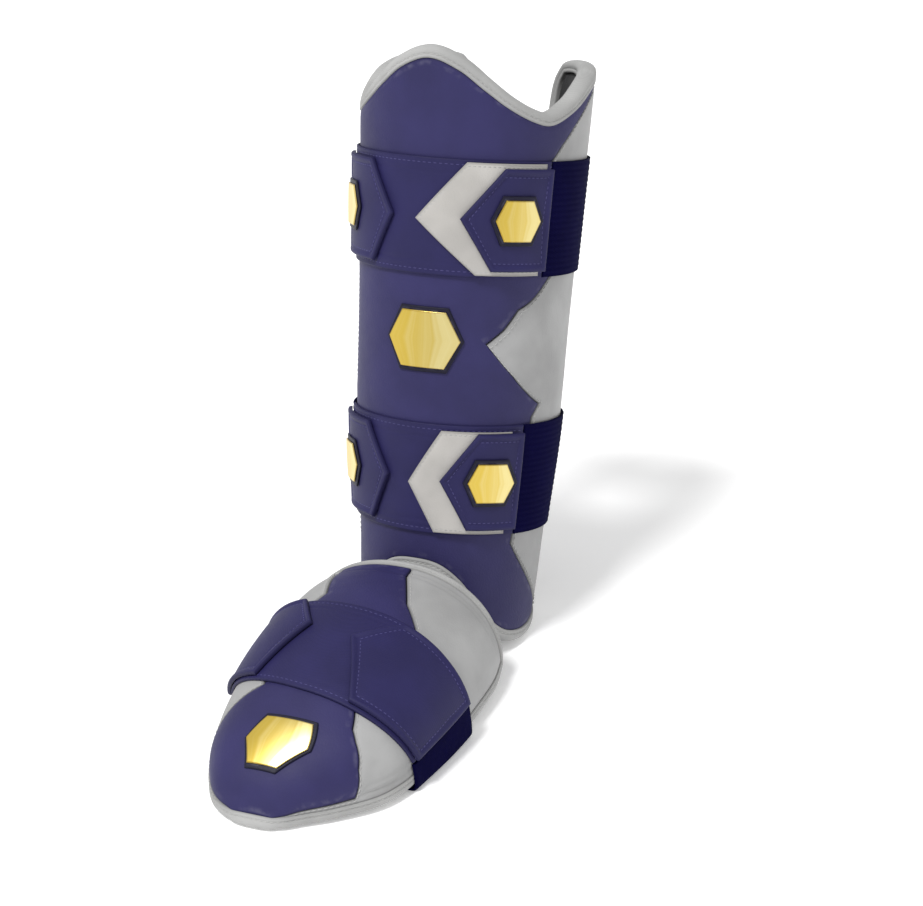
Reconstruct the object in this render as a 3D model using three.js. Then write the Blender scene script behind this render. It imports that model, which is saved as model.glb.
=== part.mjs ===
// A batter's leg guard standing by itself: a padded shin shield that leans back over a padded foot shield.
// Millimetres, +Z up. The toe points along -Y, and the floor is z = 0.
// Angles round the shin are in degrees: 0 is the front line, 90 the wearer's side at +X, 180 the back.
import * as THREE from 'three';

const DEGREES = Math.PI / 180;

// Shin shield
const SHIN_HEIGHT = 361;
const CALF_WIDTH = 142;
const CALF_DEPTH = 158;
const SHIN_SKIN = 5;
const SHIN_LINING = 4;
const LEAN = 15.5;

// Foot shield
const FOOT_LENGTH = 190;
const FOOT_WIDTH = 158;
const FOOT_HEIGHT = 66.5;
const FOOT_ROUNDNESS = 2.2;
const FOOT_SKIN = 3.5;
const FOOT_LINING = 5;
const FOOT_PITCH = 1.9;
const ANKLE_SETBACK = 47.5;

// Edges and straps
const BINDING_WIDTH = 7;
const BINDING_PROUD = 0.4;
const STRAP_WIDTH = 70;
const STRAP_THICKNESS = 1.6;
const PATCH_THICKNESS = 1;
const TAB_THICKNESS = 2.6;
const UPPER_STRAP_HEIGHT = 233;
const LOWER_STRAP_HEIGHT = 72;
const FOOT_STRAP_START = 61;
const FOOT_STRAP_WIDTH = 75;
const FOOT_STRAP_SKEW = 15;
const FOOT_STRAP_SWEEP = { front: 19, rear: 6 };
const HINGE_THICKNESS = 1.5;
const HINGE_OVERLAP = 14;
const EMBLEM_THICKNESS = 0.8;
const EMBLEM_BORDER = 2.6;
const TAB_EMBLEM = { leftAngle: -52, width: 32, height: 30 };
const SHIN_EMBLEM = { angle: 3, raised: 6, width: 54, height: 40 };
const TOE_EMBLEM = { across: 0, back: 0.15, width: 54, height: 36 };

// Clearances between pieces that touch on the real guard
const SEAM_GAP = 0.4;
const BINDING_GAP = 0.6;
const LINING_INSET = 1.2;
const SKIN_GAP = 1.4;
const LAYER_GAP = 0.9;
const EMBLEM_GAP = 0.5;
const STRAP_GAP = 0.7;
const HINGE_CLEARANCE = 2.4;

// Widest facets that keep neighbouring layers clear of each other, in degrees round the shin
const COLUMN_STEP = 8.5;
const ROW_STEP = 12;
const TAB_ROW_STEP = 9;
const LINING_ROW_STEP = 20;

// Columns and longest rows of the other pieces. The middle front column edge lies on the lining's own
const FRONT_COLUMNS = 18;
const WING_COLUMNS = 8;
const LINING_COLUMNS = 22;
const FOOT_COLUMNS = 20;
const FOOT_SIDE_COLUMNS = 6;
const TOE_EDGE_COLUMNS = 14;
const FOOT_BAND_COLUMNS = 18;
const FOOT_BAND_ROWS = 5;
const HINGE_COLUMNS = 6;
const LONGEST_CLIMB = 0.15;
const LONGEST_TAB_ROW = 0.5;
const FOOT_ROW = { rise: 0.2, length: 0.1 };
const FOOT_TAB_ROW = { across: 0.11, length: 0.2 };

// Extra rows where the left seam runs slantwise over the foot shield's steep side
const SLANTED_SEAM_BACKS = [0.257, 0.305];

// Outline of the shin's cross-section from the flap tips up, as shares of its height, width and depth
const SHIN_SECTIONS = [
  { height: 0.0, width: 0.76, depth: 0.69 },
  { height: 0.2, width: 0.825, depth: 0.745 },
  { height: 0.37, width: 0.89, depth: 0.845 },
  { height: 0.56, width: 0.915, depth: 0.90 },
  { height: 0.75, width: 0.95, depth: 0.95 },
  { height: 0.95, width: 0.993, depth: 0.987 },
  { height: 1.1, width: 1.0, depth: 1.0 },
];

// Top edge: the knee peak in front, the dip at the side and the calf wing behind
const TOP_EDGE = [
  { angle: -15, height: 0.983 },
  { angle: 0, height: 1.0 },
  { angle: 15, height: 0.983 },
  { angle: 28, height: 0.952 },
  { angle: 40, height: 0.925 },
  { angle: 53, height: 0.905 },
  { angle: 64, height: 0.899 },
  { angle: 79, height: 0.92 },
  { angle: 98, height: 0.956 },
  { angle: 120, height: 0.976 },
  { angle: 140, height: 0.978 },
  { angle: 150, height: 0.97 },
];

// Bottom edge: the arch over the instep and the two ankle flaps
const BOTTOM_EDGE = [
  { angle: -15, height: 0.144 },
  { angle: 0, height: 0.15 },
  { angle: 15, height: 0.144 },
  { angle: 28, height: 0.12 },
  { angle: 40, height: 0.083 },
  { angle: 52, height: 0.046 },
  { angle: 64, height: 0.024 },
  { angle: 78, height: 0.017 },
  { angle: 92, height: 0.021 },
  { angle: 104, height: 0.03 },
  { angle: 113, height: 0.0355 },
  { angle: 121, height: 0.038 },
  { angle: 127, height: 0.0395 },
  { angle: 131, height: 0.045 },
  { angle: 135, height: 0.061 },
];

// How far round the wing reaches, from the bottom edge (climb 0) to the top edge (climb 1)
const REAR_EDGE = [
  { climb: 0.0, angle: 129.5 },
  { climb: 0.04, angle: 132.5 },
  { climb: 0.12, angle: 133.5 },
  { climb: 0.25, angle: 134 },
  { climb: 0.43, angle: 137 },
  { climb: 0.6, angle: 142 },
  { climb: 0.75, angle: 147 },
  { climb: 0.9, angle: 150 },
  { climb: 0.96, angle: 149 },
  { climb: 0.985, angle: 147 },
  { climb: 1.0, angle: 143 },
];

// Zigzag seam between the dark front panel and the grey wing
const LEFT_SEAM_LEAST = 66;
const ZIGZAG = [
  { climb: 0.0, angle: 108.0 },
  { climb: 0.03, angle: 104.0 },
  { climb: 0.085, angle: 88.2 },
  { climb: 0.129, angle: 75.4 },
  { climb: 0.176, angle: 62.0 },
  { climb: 0.435, angle: 67.9 },
  { climb: 0.458, angle: 72.8 },
  { climb: 0.482, angle: 63.5 },
  { climb: 0.503, angle: 53.0 },
  { climb: 0.513, angle: 44.5 },
  { climb: 0.523, angle: 36.6 },
  { climb: 0.58, angle: 46.0 },
  { climb: 0.636, angle: 53.6 },
  { climb: 0.709, angle: 74.4 },
  { climb: 0.927, angle: 66.0 },
  { climb: 0.95, angle: 73.0 },
  { climb: 0.969, angle: 82.0 },
  { climb: 0.984, angle: 98.0 },
  { climb: 1.0, angle: 117.0 },
];

// Rims and ridge of the foot shield from the toe back, as shares of its length, half width and height.
// The toe bears to the left, so that the rims aren't mirrored
const FOOT_SECTIONS = [
  { back: 0.0, left: 0.33, right: -0.02, height: 0.111 },
  { back: 0.012, left: 0.42, right: 0.06, height: 0.205 },
  { back: 0.042, left: 0.53, right: 0.16, height: 0.353 },
  { back: 0.094, left: 0.63, right: 0.34, height: 0.489 },
  { back: 0.19, left: 0.75, right: 0.59, height: 0.654 },
  { back: 0.28, left: 0.81, right: 0.7, height: 0.759 },
  { back: 0.38, left: 0.86, right: 0.75, height: 0.85 },
  { back: 0.566, left: 0.92, right: 0.81, height: 0.947 },
  { back: 0.75, left: 0.94, right: 0.83, height: 0.992 },
  { back: 0.895, left: 0.93, right: 0.82, height: 1.0 },
  { back: 1.0, left: 0.86, right: 0.77, height: 0.977 },
];

// The dark middle of the foot shield: its seams as shares across, -1 at the left rim and 1 at the right
const FOOT_SEAMS = [
  { back: 0.0, left: -0.92, right: 0.92 },
  { back: 0.1, left: -0.93, right: 0.94 },
  { back: 0.145, left: -0.93, right: 0.94 },
  { back: 0.18, left: -0.93, right: 0.66 },
  { back: 0.23, left: -0.9, right: 0.45 },
  { back: 0.257, left: -0.75, right: 0.37 },
  { back: 0.345, left: -0.3, right: 0.27 },
  { back: 0.71, left: -0.33, right: 0.32 },
  { back: 0.8, left: -0.26, right: 0.19 },
  { back: 0.945, left: -0.36, right: 0.08 },
  { back: 1.0, left: -0.38, right: 0.07 },
];

// The foot shield thins towards the toe, as a share of its full wall
const FOOT_WALL = [
  { back: 0.0, share: 0.5 },
  { back: 0.2, share: 1.0 },
  { back: 1.0, share: 1.0 },
];

// Outlines of the parts sewn on the straps: rows up the strap, with their angles round the shin
const UPPER_TAB_ROWS = [
  { up: 0.06, from: 35, to: 63.5 },
  { up: 0.5, from: 19.5, to: 63.5 },
  { up: 0.94, from: 39, to: 63.5 },
];
const LOWER_TAB_ROWS = [
  { up: 0.06, from: 30, to: 59 },
  { up: 0.5, from: 15, to: 59 },
  { up: 0.94, from: 34, to: 59 },
];
const LEFT_TAB_ROWS = [
  { up: 0.06, from: 28, to: 69 },
  { up: 0.5, from: 15, to: 69 },
  { up: 0.94, from: 30, to: 69 },
];
const UPPER_PATCH_ROWS = [
  { up: 0.02, from: 28, to: 61 },
  { up: 0.48, from: -2.5, to: 61 },
  { up: 0.98, from: 21.5, to: 61 },
];
const LOWER_PATCH_ROWS = [
  { up: 0.02, from: 12, to: 53 },
  { up: 0.46, from: -3, to: 53 },
  { up: 0.95, from: 15, to: 53 },
];
const FOOT_RIGHT_TAB_ROWS = [
  { up: 0.03, from: 0.25, to: 0.89 },
  { up: 0.6, from: 0.06, to: 0.89 },
  { up: 0.95, from: 0.27, to: 0.89 },
];
const FOOT_LEFT_TAB_ROWS = [
  { up: 0.03, from: 0.37, to: 0.89 },
  { up: 0.66, from: 0.165, to: 0.89 },
  { up: 0.97, from: 0.31, to: 0.89 },
];

// A plain six-sided badge: half-widths up its height
const BADGE_ROWS = [
  { up: 0, half: 0.6 },
  { up: 0.5, half: 1 },
  { up: 1, half: 0.6 },
];

const FINISH = {
  navy: { color: 0x2c2752, roughness: 0.62, metalness: 0 },
  navyStrap: { color: 0x201c4e, roughness: 0.7, metalness: 0 },
  elastic: { color: 0x14103c, roughness: 0.9, metalness: 0 },
  grey: { color: 0xb4b4b4, roughness: 0.6, metalness: 0 },
  binding: { color: 0xc4c4c3, roughness: 0.8, metalness: 0 },
  lining: { color: 0x17171a, roughness: 0.95, metalness: 0 },
  outline: { color: 0x14122c, roughness: 0.6, metalness: 0 },
  gold: { color: 0xd3c061, roughness: 0.35, metalness: 0.6 },
};

// Reads a table at a place between its rows, in straight lines
function straight(table, key, place, value) {
  const last = table.length - 1;
  if (place <= table[0][key]) return table[0][value];
  if (place >= table[last][key]) return table[last][value];
  const next = table.findIndex((row) => row[key] > place);
  const [a, b] = [table[next - 1], table[next]];
  return THREE.MathUtils.mapLinear(place, a[key], b[key], a[value], b[value]);
}

// Reads a table at a place between its rows, on a smooth curve
function smooth(table, key, place, value) {
  const last = table.length - 1;
  if (place <= table[0][key]) return table[0][value];
  if (place >= table[last][key]) return table[last][value];
  const next = table.findIndex((row) => row[key] > place);
  const slope = (i) => {
    const [a, b] = [table[Math.max(i - 1, 0)], table[Math.min(i + 1, last)]];
    return (b[value] - a[value]) / (b[key] - a[key]);
  };
  const [a, b] = [table[next - 1], table[next]];
  const step = b[key] - a[key];
  const t = (place - a[key]) / step;
  const [t2, t3] = [t * t, t * t * t];
  return (2 * t3 - 3 * t2 + 1) * a[value] + (t3 - 2 * t2 + t) * step * slope(next - 1)
    + (3 * t2 - 2 * t3) * b[value] + (t3 - t2) * step * slope(next);
}

// Places between two ends, evenly, ends included
function spread(from, to, steps) {
  return Array.from({ length: steps + 1 }, (_, i) => from + (to - from) * (i / steps));
}

// The table's own places, with more between them wherever a value moves by more than a step
function refined(table, key, value, largest, widest) {
  const places = [table[0][key]];
  for (let i = 1; i < table.length; i++) {
    const [a, b] = [table[i - 1], table[i]];
    const turns = Math.abs(b[value] - a[value]) / largest;
    const steps = Math.max(1, Math.ceil(turns), Math.ceil((b[key] - a[key]) / widest));
    places.push(...spread(a[key], b[key], steps).slice(1));
  }
  return places;
}

// Point on the shin's outer face, at a distance out from it
function onShin(angle, height, out) {
  const share = height / SHIN_HEIGHT;
  const a = (CALF_WIDTH / 2) * smooth(SHIN_SECTIONS, 'height', share, 'width');
  const b = (CALF_DEPTH / 2) * smooth(SHIN_SECTIONS, 'height', share, 'depth');
  const turn = angle * DEGREES;
  const [x, y] = [Math.sin(turn), -Math.cos(turn)];
  const normal = new THREE.Vector3(b * x, a * y, 0).normalize();
  return new THREE.Vector3(a * x, b * y, height).addScaledVector(normal, out);
}

// The same point, with its height given as the climb from the bottom edge to the top edge
function upShin(angle, climb, out) {
  const low = SHIN_HEIGHT * smooth(BOTTOM_EDGE, 'angle', Math.abs(angle), 'height');
  const high = SHIN_HEIGHT * smooth(TOP_EDGE, 'angle', Math.abs(angle), 'height');
  return onShin(angle, THREE.MathUtils.lerp(low, high, climb), out);
}

// Where the foot shield's rim lies, on the left at side -1 and on the right at side 1
function footRim(side, back) {
  return side * (FOOT_WIDTH / 2) * smooth(FOOT_SECTIONS, 'back', back, side < 0 ? 'left' : 'right');
}

// Point on the foot shield's outer face: across from -1 to 1, back from 0 at the toe to 1 at the instep
function footFace(across, back) {
  const rim = BINDING_WIDTH + BINDING_GAP;
  const [left, right] = [footRim(-1, back), footRim(1, back)];
  const ridge = Math.max(FOOT_HEIGHT * smooth(FOOT_SECTIONS, 'back', back, 'height'), rim);
  const turn = (Math.PI * (across + 1)) / 2;
  const [c, s] = [Math.cos(turn), Math.abs(Math.sin(turn))];
  const power = 2 / FOOT_ROUNDNESS;
  const x = (left + right) / 2 - ((right - left) / 2) * Math.sign(c) * Math.abs(c) ** power;
  return new THREE.Vector3(x, back * FOOT_LENGTH, rim + (ridge - rim) * s ** power);
}

// The way out of the foot shield's face, read a little inside its edges, where the face is smooth
function footNormal(across, back) {
  const reach = 0.01;
  const a = THREE.MathUtils.clamp(across, -0.97, 0.97);
  const b = THREE.MathUtils.clamp(back, 2 * reach, 1 - reach);
  const along = footFace(a + reach, b).sub(footFace(a - reach, b));
  const up = footFace(a, b + reach).sub(footFace(a, b - reach));
  return along.cross(up).normalize();
}

function onFoot(across, back, out) {
  const normal = footNormal(across, back);
  return footFace(across, back).addScaledVector(normal, out);
}

function footWall(back) {
  return straight(FOOT_WALL, 'back', back, 'share');
}

// Turns faces outwards and makes a geometry
function solid(points, faces) {
  let volume = 0;
  for (const [a, b, c] of faces) {
    volume += points[a].dot(new THREE.Vector3().crossVectors(points[b], points[c]));
  }
  const outward = volume < 0 ? faces.map(([a, b, c]) => [a, c, b]) : faces;
  const geometry = new THREE.BufferGeometry();
  geometry.setFromPoints(points);
  geometry.setIndex(outward.flat());
  geometry.computeVertexNormals();
  return geometry;
}

// A closed sheet with a wall: point(u, v, side) gives its outer face at side 1 and its inner face at side 0
function sheet(us, vs, point) {
  const points = [];
  const faces = [];
  const at = (i, j, side) => (side * vs.length + j) * us.length + i;
  const quad = (a, b, c, d) => faces.push([a, b, c], [a, c, d]);
  for (const side of [0, 1]) {
    for (const v of vs) {
      for (const u of us) points.push(point(u, v, side));
    }
  }
  const [right, top] = [us.length - 1, vs.length - 1];
  for (let j = 0; j < top; j++) {
    for (let i = 0; i < right; i++) {
      quad(at(i, j, 1), at(i + 1, j, 1), at(i + 1, j + 1, 1), at(i, j + 1, 1));
      quad(at(i, j, 0), at(i, j + 1, 0), at(i + 1, j + 1, 0), at(i + 1, j, 0));
    }
  }
  for (let i = 0; i < right; i++) {
    quad(at(i, 0, 0), at(i + 1, 0, 0), at(i + 1, 0, 1), at(i, 0, 1));
    quad(at(i, top, 1), at(i + 1, top, 1), at(i + 1, top, 0), at(i, top, 0));
  }
  for (let j = 0; j < top; j++) {
    quad(at(0, j, 0), at(0, j, 1), at(0, j + 1, 1), at(0, j + 1, 0));
    quad(at(right, j, 0), at(right, j + 1, 0), at(right, j + 1, 1), at(right, j, 1));
  }
  return solid(points, faces);
}

// A binding swept round a closed edge. Each stop has its point, the way out of the face, and the wall there,
// and a radius where the face goes on curving past the edge
function edging(stops) {
  const sharpest = 0.6;
  const shoulder = 0.8;
  const count = stops.length;
  const points = [];
  const faces = [];
  let corners = 0;
  stops.forEach((stop, i) => {
    const before = stops[(i + count - 1) % count].point;
    const after = stops[(i + 1) % count].point;
    const arriving = stop.point.clone().sub(before).normalize();
    const leaving = after.clone().sub(stop.point).normalize();
    const along = arriving.clone().add(leaving).normalize();
    const mitre = 1 / Math.max(along.dot(leaving), sharpest);
    const beyond = new THREE.Vector3().crossVectors(along, stop.normal).normalize();
    const normal = new THREE.Vector3().crossVectors(beyond, along).normalize();
    const [near, far] = [BINDING_GAP, BINDING_WIDTH + BINDING_GAP];
    const [top, bottom] = [BINDING_PROUD, -stop.wall - BINDING_PROUD];
    const [upper, lower] = spread(top, bottom, 3).slice(1, 3);
    const section = [
      [near, top], [far * shoulder, top], [far, upper], [far, lower], [far * shoulder, bottom], [near, bottom],
    ];
    corners = section.length;
    for (const [b, n] of section) {
      const curve = stop.radius ? (b * b) / (2 * stop.radius) : 0;
      points.push(stop.point.clone().addScaledVector(beyond, b * mitre).addScaledVector(normal, n - curve));
    }
  });
  for (let i = 0; i < count; i++) {
    for (let k = 0; k < corners; k++) {
      const [a, b] = [i * corners + k, i * corners + ((k + 1) % corners)];
      const next = (i + 1) % count;
      const [c, d] = [next * corners + ((k + 1) % corners), next * corners + k];
      faces.push([a, b, c], [a, c, d]);
    }
  }
  return solid(points, faces);
}

function piece(name, geometry, finish) {
  const mesh = new THREE.Mesh(geometry, new THREE.MeshStandardMaterial(FINISH[finish]));
  mesh.name = name;
  return mesh;
}

// Shin shield: one dark front panel, two grey wings, a lining and the binding round them
const SHIN_CLIMBS = refined(ZIGZAG, 'climb', 'angle', ROW_STEP, LONGEST_CLIMB);
const SHIN_WALL = SHIN_SKIN + SKIN_GAP + SHIN_LINING;
const seamGapAngle = SEAM_GAP / (CALF_WIDTH / 2) / DEGREES;

function shinPanel(from, to, columns) {
  return sheet(spread(0, 1, columns), SHIN_CLIMBS, (u, climb, side) => {
    const angle = THREE.MathUtils.lerp(from(climb), to(climb), u);
    return upShin(angle, climb, side ? 0 : -SHIN_SKIN);
  });
}

const zigzag = (climb) => straight(ZIGZAG, 'climb', climb, 'angle');
const leftZigzag = (climb) => Math.max(zigzag(climb), LEFT_SEAM_LEAST);
const rear = (climb) => smooth(REAR_EDGE, 'climb', climb, 'angle');

function shinLining() {
  const inset = LINING_INSET / SHIN_HEIGHT;
  const insetAngle = LINING_INSET / (CALF_WIDTH / 2) / DEGREES;
  const climbs = refined(REAR_EDGE, 'climb', 'angle', LINING_ROW_STEP, LONGEST_CLIMB);
  return sheet(spread(-1, 1, LINING_COLUMNS), climbs, (u, climb, side) => {
    const angle = u * (rear(climb) - insetAngle);
    const inside = THREE.MathUtils.clamp(climb, inset, 1 - inset);
    return upShin(angle, inside, side ? -SHIN_SKIN - SKIN_GAP : -SHIN_WALL);
  });
}

function shinEdgeStop(angle, climb, curved = false) {
  const [point, out] = [upShin(angle, climb, 0), upShin(angle, climb, 1)];
  const radius = curved ? Math.hypot(point.x, point.y) : 0;
  return { point, normal: out.sub(point), wall: SHIN_WALL, radius };
}

function shinBinding() {
  const across = (climb) => {
    const wing = spread(zigzag(climb), rear(climb), WING_COLUMNS).slice(1);
    const front = spread(-zigzag(climb), zigzag(climb), FRONT_COLUMNS);
    return [...wing.map((angle) => -angle).reverse(), ...front, ...wing];
  };
  const sides = SHIN_CLIMBS.slice(1, -1);
  const bottom = across(0).map((angle) => shinEdgeStop(angle, 0));
  const right = sides.map((climb) => shinEdgeStop(rear(climb), climb, true));
  const top = across(1).reverse().map((angle) => shinEdgeStop(angle, 1));
  const left = [...sides].reverse().map((climb) => shinEdgeStop(-rear(climb), climb, true));
  return edging([...bottom, ...right, ...top, ...left]);
}

// A piece sewn flat on the shin at a strap's height; mirror -1 puts it on the left
function strapPatch(base, rows, mirror, out, thickness) {
  const columns = Math.ceil((rows[1].to - rows[1].from) / COLUMN_STEP);
  return sheet(spread(0, 1, columns), refined(rows, 'up', 'from', TAB_ROW_STEP, LONGEST_TAB_ROW), (u, up, side) => {
    const from = straight(rows, 'up', up, 'from');
    const angle = THREE.MathUtils.lerp(from, straight(rows, 'up', up, 'to'), u);
    return onShin(mirror * angle, base + up * STRAP_WIDTH, side ? out + thickness : out);
  });
}

function strapBand(base, from, to, out) {
  const columns = Math.ceil((to - from) / COLUMN_STEP);
  return sheet(spread(from, to, columns), spread(0, STRAP_WIDTH, 2), (angle, up, side) => (
    onShin(angle, base + up, side ? out + STRAP_THICKNESS : out)
  ));
}

// A six-sided badge around a middle point: place(x, y, out) maps its plane to the face that carries it
function badge(place, width, height, out, columns) {
  const rows = refined(BADGE_ROWS, 'up', 'half', 2 / columns, LONGEST_TAB_ROW);
  return sheet(spread(-1, 1, columns), rows, (u, up, side) => {
    const half = (width / 2) * straight(BADGE_ROWS, 'up', up, 'half');
    return place(u * half, (up - 0.5) * height, side ? out + EMBLEM_THICKNESS : out);
  });
}

function emblem(group, name, place, size, out, columns = 4) {
  const { width, height } = size;
  const raised = out + EMBLEM_THICKNESS + EMBLEM_GAP;
  const [goldWidth, goldHeight] = [width - 2 * EMBLEM_BORDER, height - 2 * EMBLEM_BORDER];
  group.add(piece(`${name}_outline`, badge(place, width, height, out, columns), 'outline'));
  group.add(piece(`${name}_emblem`, badge(place, goldWidth, goldHeight, raised, columns), 'gold'));
}

function shinPlace(angle, height) {
  const radius = onShin(angle, height, 0).setZ(0).length();
  return (x, y, out) => onShin(angle + x / radius / DEGREES, height + y, out);
}

// The band in front, the elastic round the back, and the tabs that cover their joins
const UPPER_STRAP = {
  name: 'upper', base: UPPER_STRAP_HEIGHT, patch: UPPER_PATCH_ROWS, tab: UPPER_TAB_ROWS, splice: 65, emblemAngle: 46,
};
const LOWER_STRAP = {
  name: 'lower', base: LOWER_STRAP_HEIGHT, patch: LOWER_PATCH_ROWS, tab: LOWER_TAB_ROWS, splice: 61, emblemAngle: 41.5,
};
const BAND_OUT = STRAP_GAP;
const ON_BAND = BAND_OUT + STRAP_THICKNESS + LAYER_GAP;
const ON_PATCH = ON_BAND + PATCH_THICKNESS + LAYER_GAP;

function strapSet(group, { name, base, patch, tab, splice, emblemAngle }) {
  const spliceGap = SEAM_GAP / (CALF_WIDTH / 2) / DEGREES;
  const middle = base + STRAP_WIDTH / 2;
  group.add(piece(`${name}_front_band`, strapBand(base, -splice, splice, BAND_OUT), 'navyStrap'));
  const outside = BAND_OUT + BINDING_PROUD;
  const back = strapBand(base, splice + spliceGap, 360 - splice - spliceGap, outside);
  group.add(piece(`${name}_elastic_strap`, back, 'elastic'));
  group.add(piece(`${name}_right_patch`, strapPatch(base, patch, 1, ON_BAND, PATCH_THICKNESS), 'grey'));
  group.add(piece(`${name}_right_tab`, strapPatch(base, tab, 1, ON_PATCH, TAB_THICKNESS), 'navyStrap'));
  group.add(piece(`${name}_left_tab`, strapPatch(base, LEFT_TAB_ROWS, -1, ON_BAND, TAB_THICKNESS), 'navyStrap'));
  const onTab = TAB_THICKNESS + EMBLEM_GAP;
  emblem(group, `${name}_right_tab`, shinPlace(emblemAngle, middle), TAB_EMBLEM, ON_PATCH + onTab);
  emblem(group, `${name}_left_tab`, shinPlace(TAB_EMBLEM.leftAngle, middle), TAB_EMBLEM, ON_BAND + onTab);
}

function shin() {
  const group = new THREE.Group();
  const seam = (climb) => zigzag(climb) + seamGapAngle;
  const leftSeam = (climb) => -leftZigzag(climb) - seamGapAngle;
  group.add(piece('shin_front_panel', shinPanel((c) => -leftZigzag(c), zigzag, FRONT_COLUMNS), 'navy'));
  group.add(piece('shin_right_wing', shinPanel(seam, rear, WING_COLUMNS), 'grey'));
  group.add(piece('shin_left_wing', shinPanel((c) => -rear(c), leftSeam, WING_COLUMNS), 'grey'));
  group.add(piece('shin_lining', shinLining(), 'lining'));
  group.add(piece('shin_binding', shinBinding(), 'binding'));
  strapSet(group, UPPER_STRAP);
  strapSet(group, LOWER_STRAP);
  const between = (UPPER_STRAP_HEIGHT + LOWER_STRAP_HEIGHT + STRAP_WIDTH) / 2;
  emblem(group, 'shin', shinPlace(SHIN_EMBLEM.angle, between + SHIN_EMBLEM.raised), SHIN_EMBLEM, LAYER_GAP, 6);
  return group;
}

// Foot shield: a dark middle, grey sides, a lining, the binding, and the band with its strap under the sole
const FOOT_BACKS = refined(FOOT_SECTIONS, 'back', 'height', FOOT_ROW.rise, FOOT_ROW.length);
FOOT_BACKS.push(...SLANTED_SEAM_BACKS);
FOOT_BACKS.sort((a, b) => a - b);

function footPanel(from, to, columns) {
  return sheet(spread(0, 1, columns), FOOT_BACKS, (u, back, side) => {
    const across = THREE.MathUtils.lerp(from(back), to(back), u);
    return onFoot(across, back, side ? 0 : -FOOT_SKIN * footWall(back));
  });
}

function footLining() {
  const inset = LINING_INSET / FOOT_LENGTH;
  return sheet(spread(-1, 1, FOOT_COLUMNS), FOOT_BACKS, (u, back, side) => {
    const wall = footWall(back);
    const top = -FOOT_SKIN * wall - SKIN_GAP;
    const across = u * (1 - LINING_INSET / FOOT_WIDTH);
    const inside = THREE.MathUtils.clamp(back, inset, 1 - inset);
    return onFoot(across, inside, side ? top : top - FOOT_LINING * wall);
  });
}

function footEdgeStop(across, back) {
  const wall = (FOOT_SKIN + FOOT_LINING) * footWall(back) + SKIN_GAP;
  return { point: footFace(across, back), normal: footNormal(across, back), wall };
}

function footBinding() {
  const sides = FOOT_BACKS.slice(1, -1);
  const toe = spread(-1, 1, TOE_EDGE_COLUMNS).map((across) => footEdgeStop(across, 0));
  const right = sides.map((back) => footEdgeStop(1, back));
  const instep = spread(1, -1, FOOT_COLUMNS).map((across) => footEdgeStop(across, 1));
  const left = [...sides].reverse().map((back) => footEdgeStop(-1, back));
  return edging([...toe, ...right, ...instep, ...left]);
}

const BAND_END = 0.9;
const STRAP_JOIN = 0.006;
const SOLE_FOLDS = [0.6, 0.2];
const bandBack = (up, across) => {
  const sweep = across * across * THREE.MathUtils.lerp(FOOT_STRAP_SWEEP.front, FOOT_STRAP_SWEEP.rear, up);
  return (FOOT_STRAP_START - FOOT_STRAP_SKEW * across + sweep + up * FOOT_STRAP_WIDTH) / FOOT_LENGTH;
};

function footBand() {
  return sheet(spread(-BAND_END, BAND_END, FOOT_BAND_COLUMNS), spread(0, 1, FOOT_BAND_ROWS), (across, up, side) => (
    onFoot(across, bandBack(up, across), side ? BAND_OUT + STRAP_THICKNESS : BAND_OUT)
  ));
}

function footTab(rows, mirror) {
  const ups = refined(rows, 'up', 'from', FOOT_TAB_ROW.across, FOOT_TAB_ROW.length);
  return sheet(spread(0, 1, FOOT_SIDE_COLUMNS), ups, (u, up, side) => {
    const from = straight(rows, 'up', up, 'from');
    const across = mirror * THREE.MathUtils.lerp(from, straight(rows, 'up', up, 'to'), u);
    return onFoot(across, bandBack(up, across), side ? ON_BAND + TAB_THICKNESS : ON_BAND);
  });
}

// The strap leaves the band at each side, drops past the rim and lies flat on the floor under the sole,
// level with the lowest point of the rim once the shield is pitched
function footStrap(rim) {
  const fall = Math.tan(FOOT_PITCH * DEGREES);
  const corners = rim.attributes.position;
  const levels = Array.from({ length: corners.count }, (_, i) => corners.getZ(i) + fall * corners.getY(i));
  const lowest = Math.min(...levels);
  const path = (side, back, outer) => {
    const rimAt = footRim(side, back);
    const floor = lowest - fall * back * FOOT_LENGTH;
    const inner = floor + STRAP_THICKNESS;
    const out = outer ? BAND_OUT + STRAP_THICKNESS : BAND_OUT;
    const edge = rimAt + side * (out + SEAM_GAP);
    const flat = outer ? floor : inner;
    const start = onFoot(side * (BAND_END + STRAP_JOIN), back, out);
    return [
      [start.x, start.z], [edge, BINDING_WIDTH], [edge, outer ? inner : -SEAM_GAP],
      [edge - side * STRAP_THICKNESS, flat], ...SOLE_FOLDS.map((share) => [rimAt * share, flat]),
    ];
  };
  const stops = path(1, 0, true).length;
  const last = 2 * stops - 1;
  return sheet(spread(0, last, last), spread(0, 1, FOOT_BAND_ROWS), (stop, up, outer) => {
    const side = stop < stops ? 1 : -1;
    const back = bandBack(up, side * BAND_END);
    const [x, z] = path(side, back, outer)[side > 0 ? stop : last - stop];
    return new THREE.Vector3(x, back * FOOT_LENGTH, z);
  });
}

function footPlace(across, back) {
  const step = 0.02;
  const wide = footFace(across - step, back).distanceTo(footFace(across + step, back)) / (2 * step);
  const long = footFace(across, back - step).distanceTo(footFace(across, back + step)) / (2 * step);
  return (x, y, out) => onFoot(across + x / wide, back + y / long, out);
}

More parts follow.
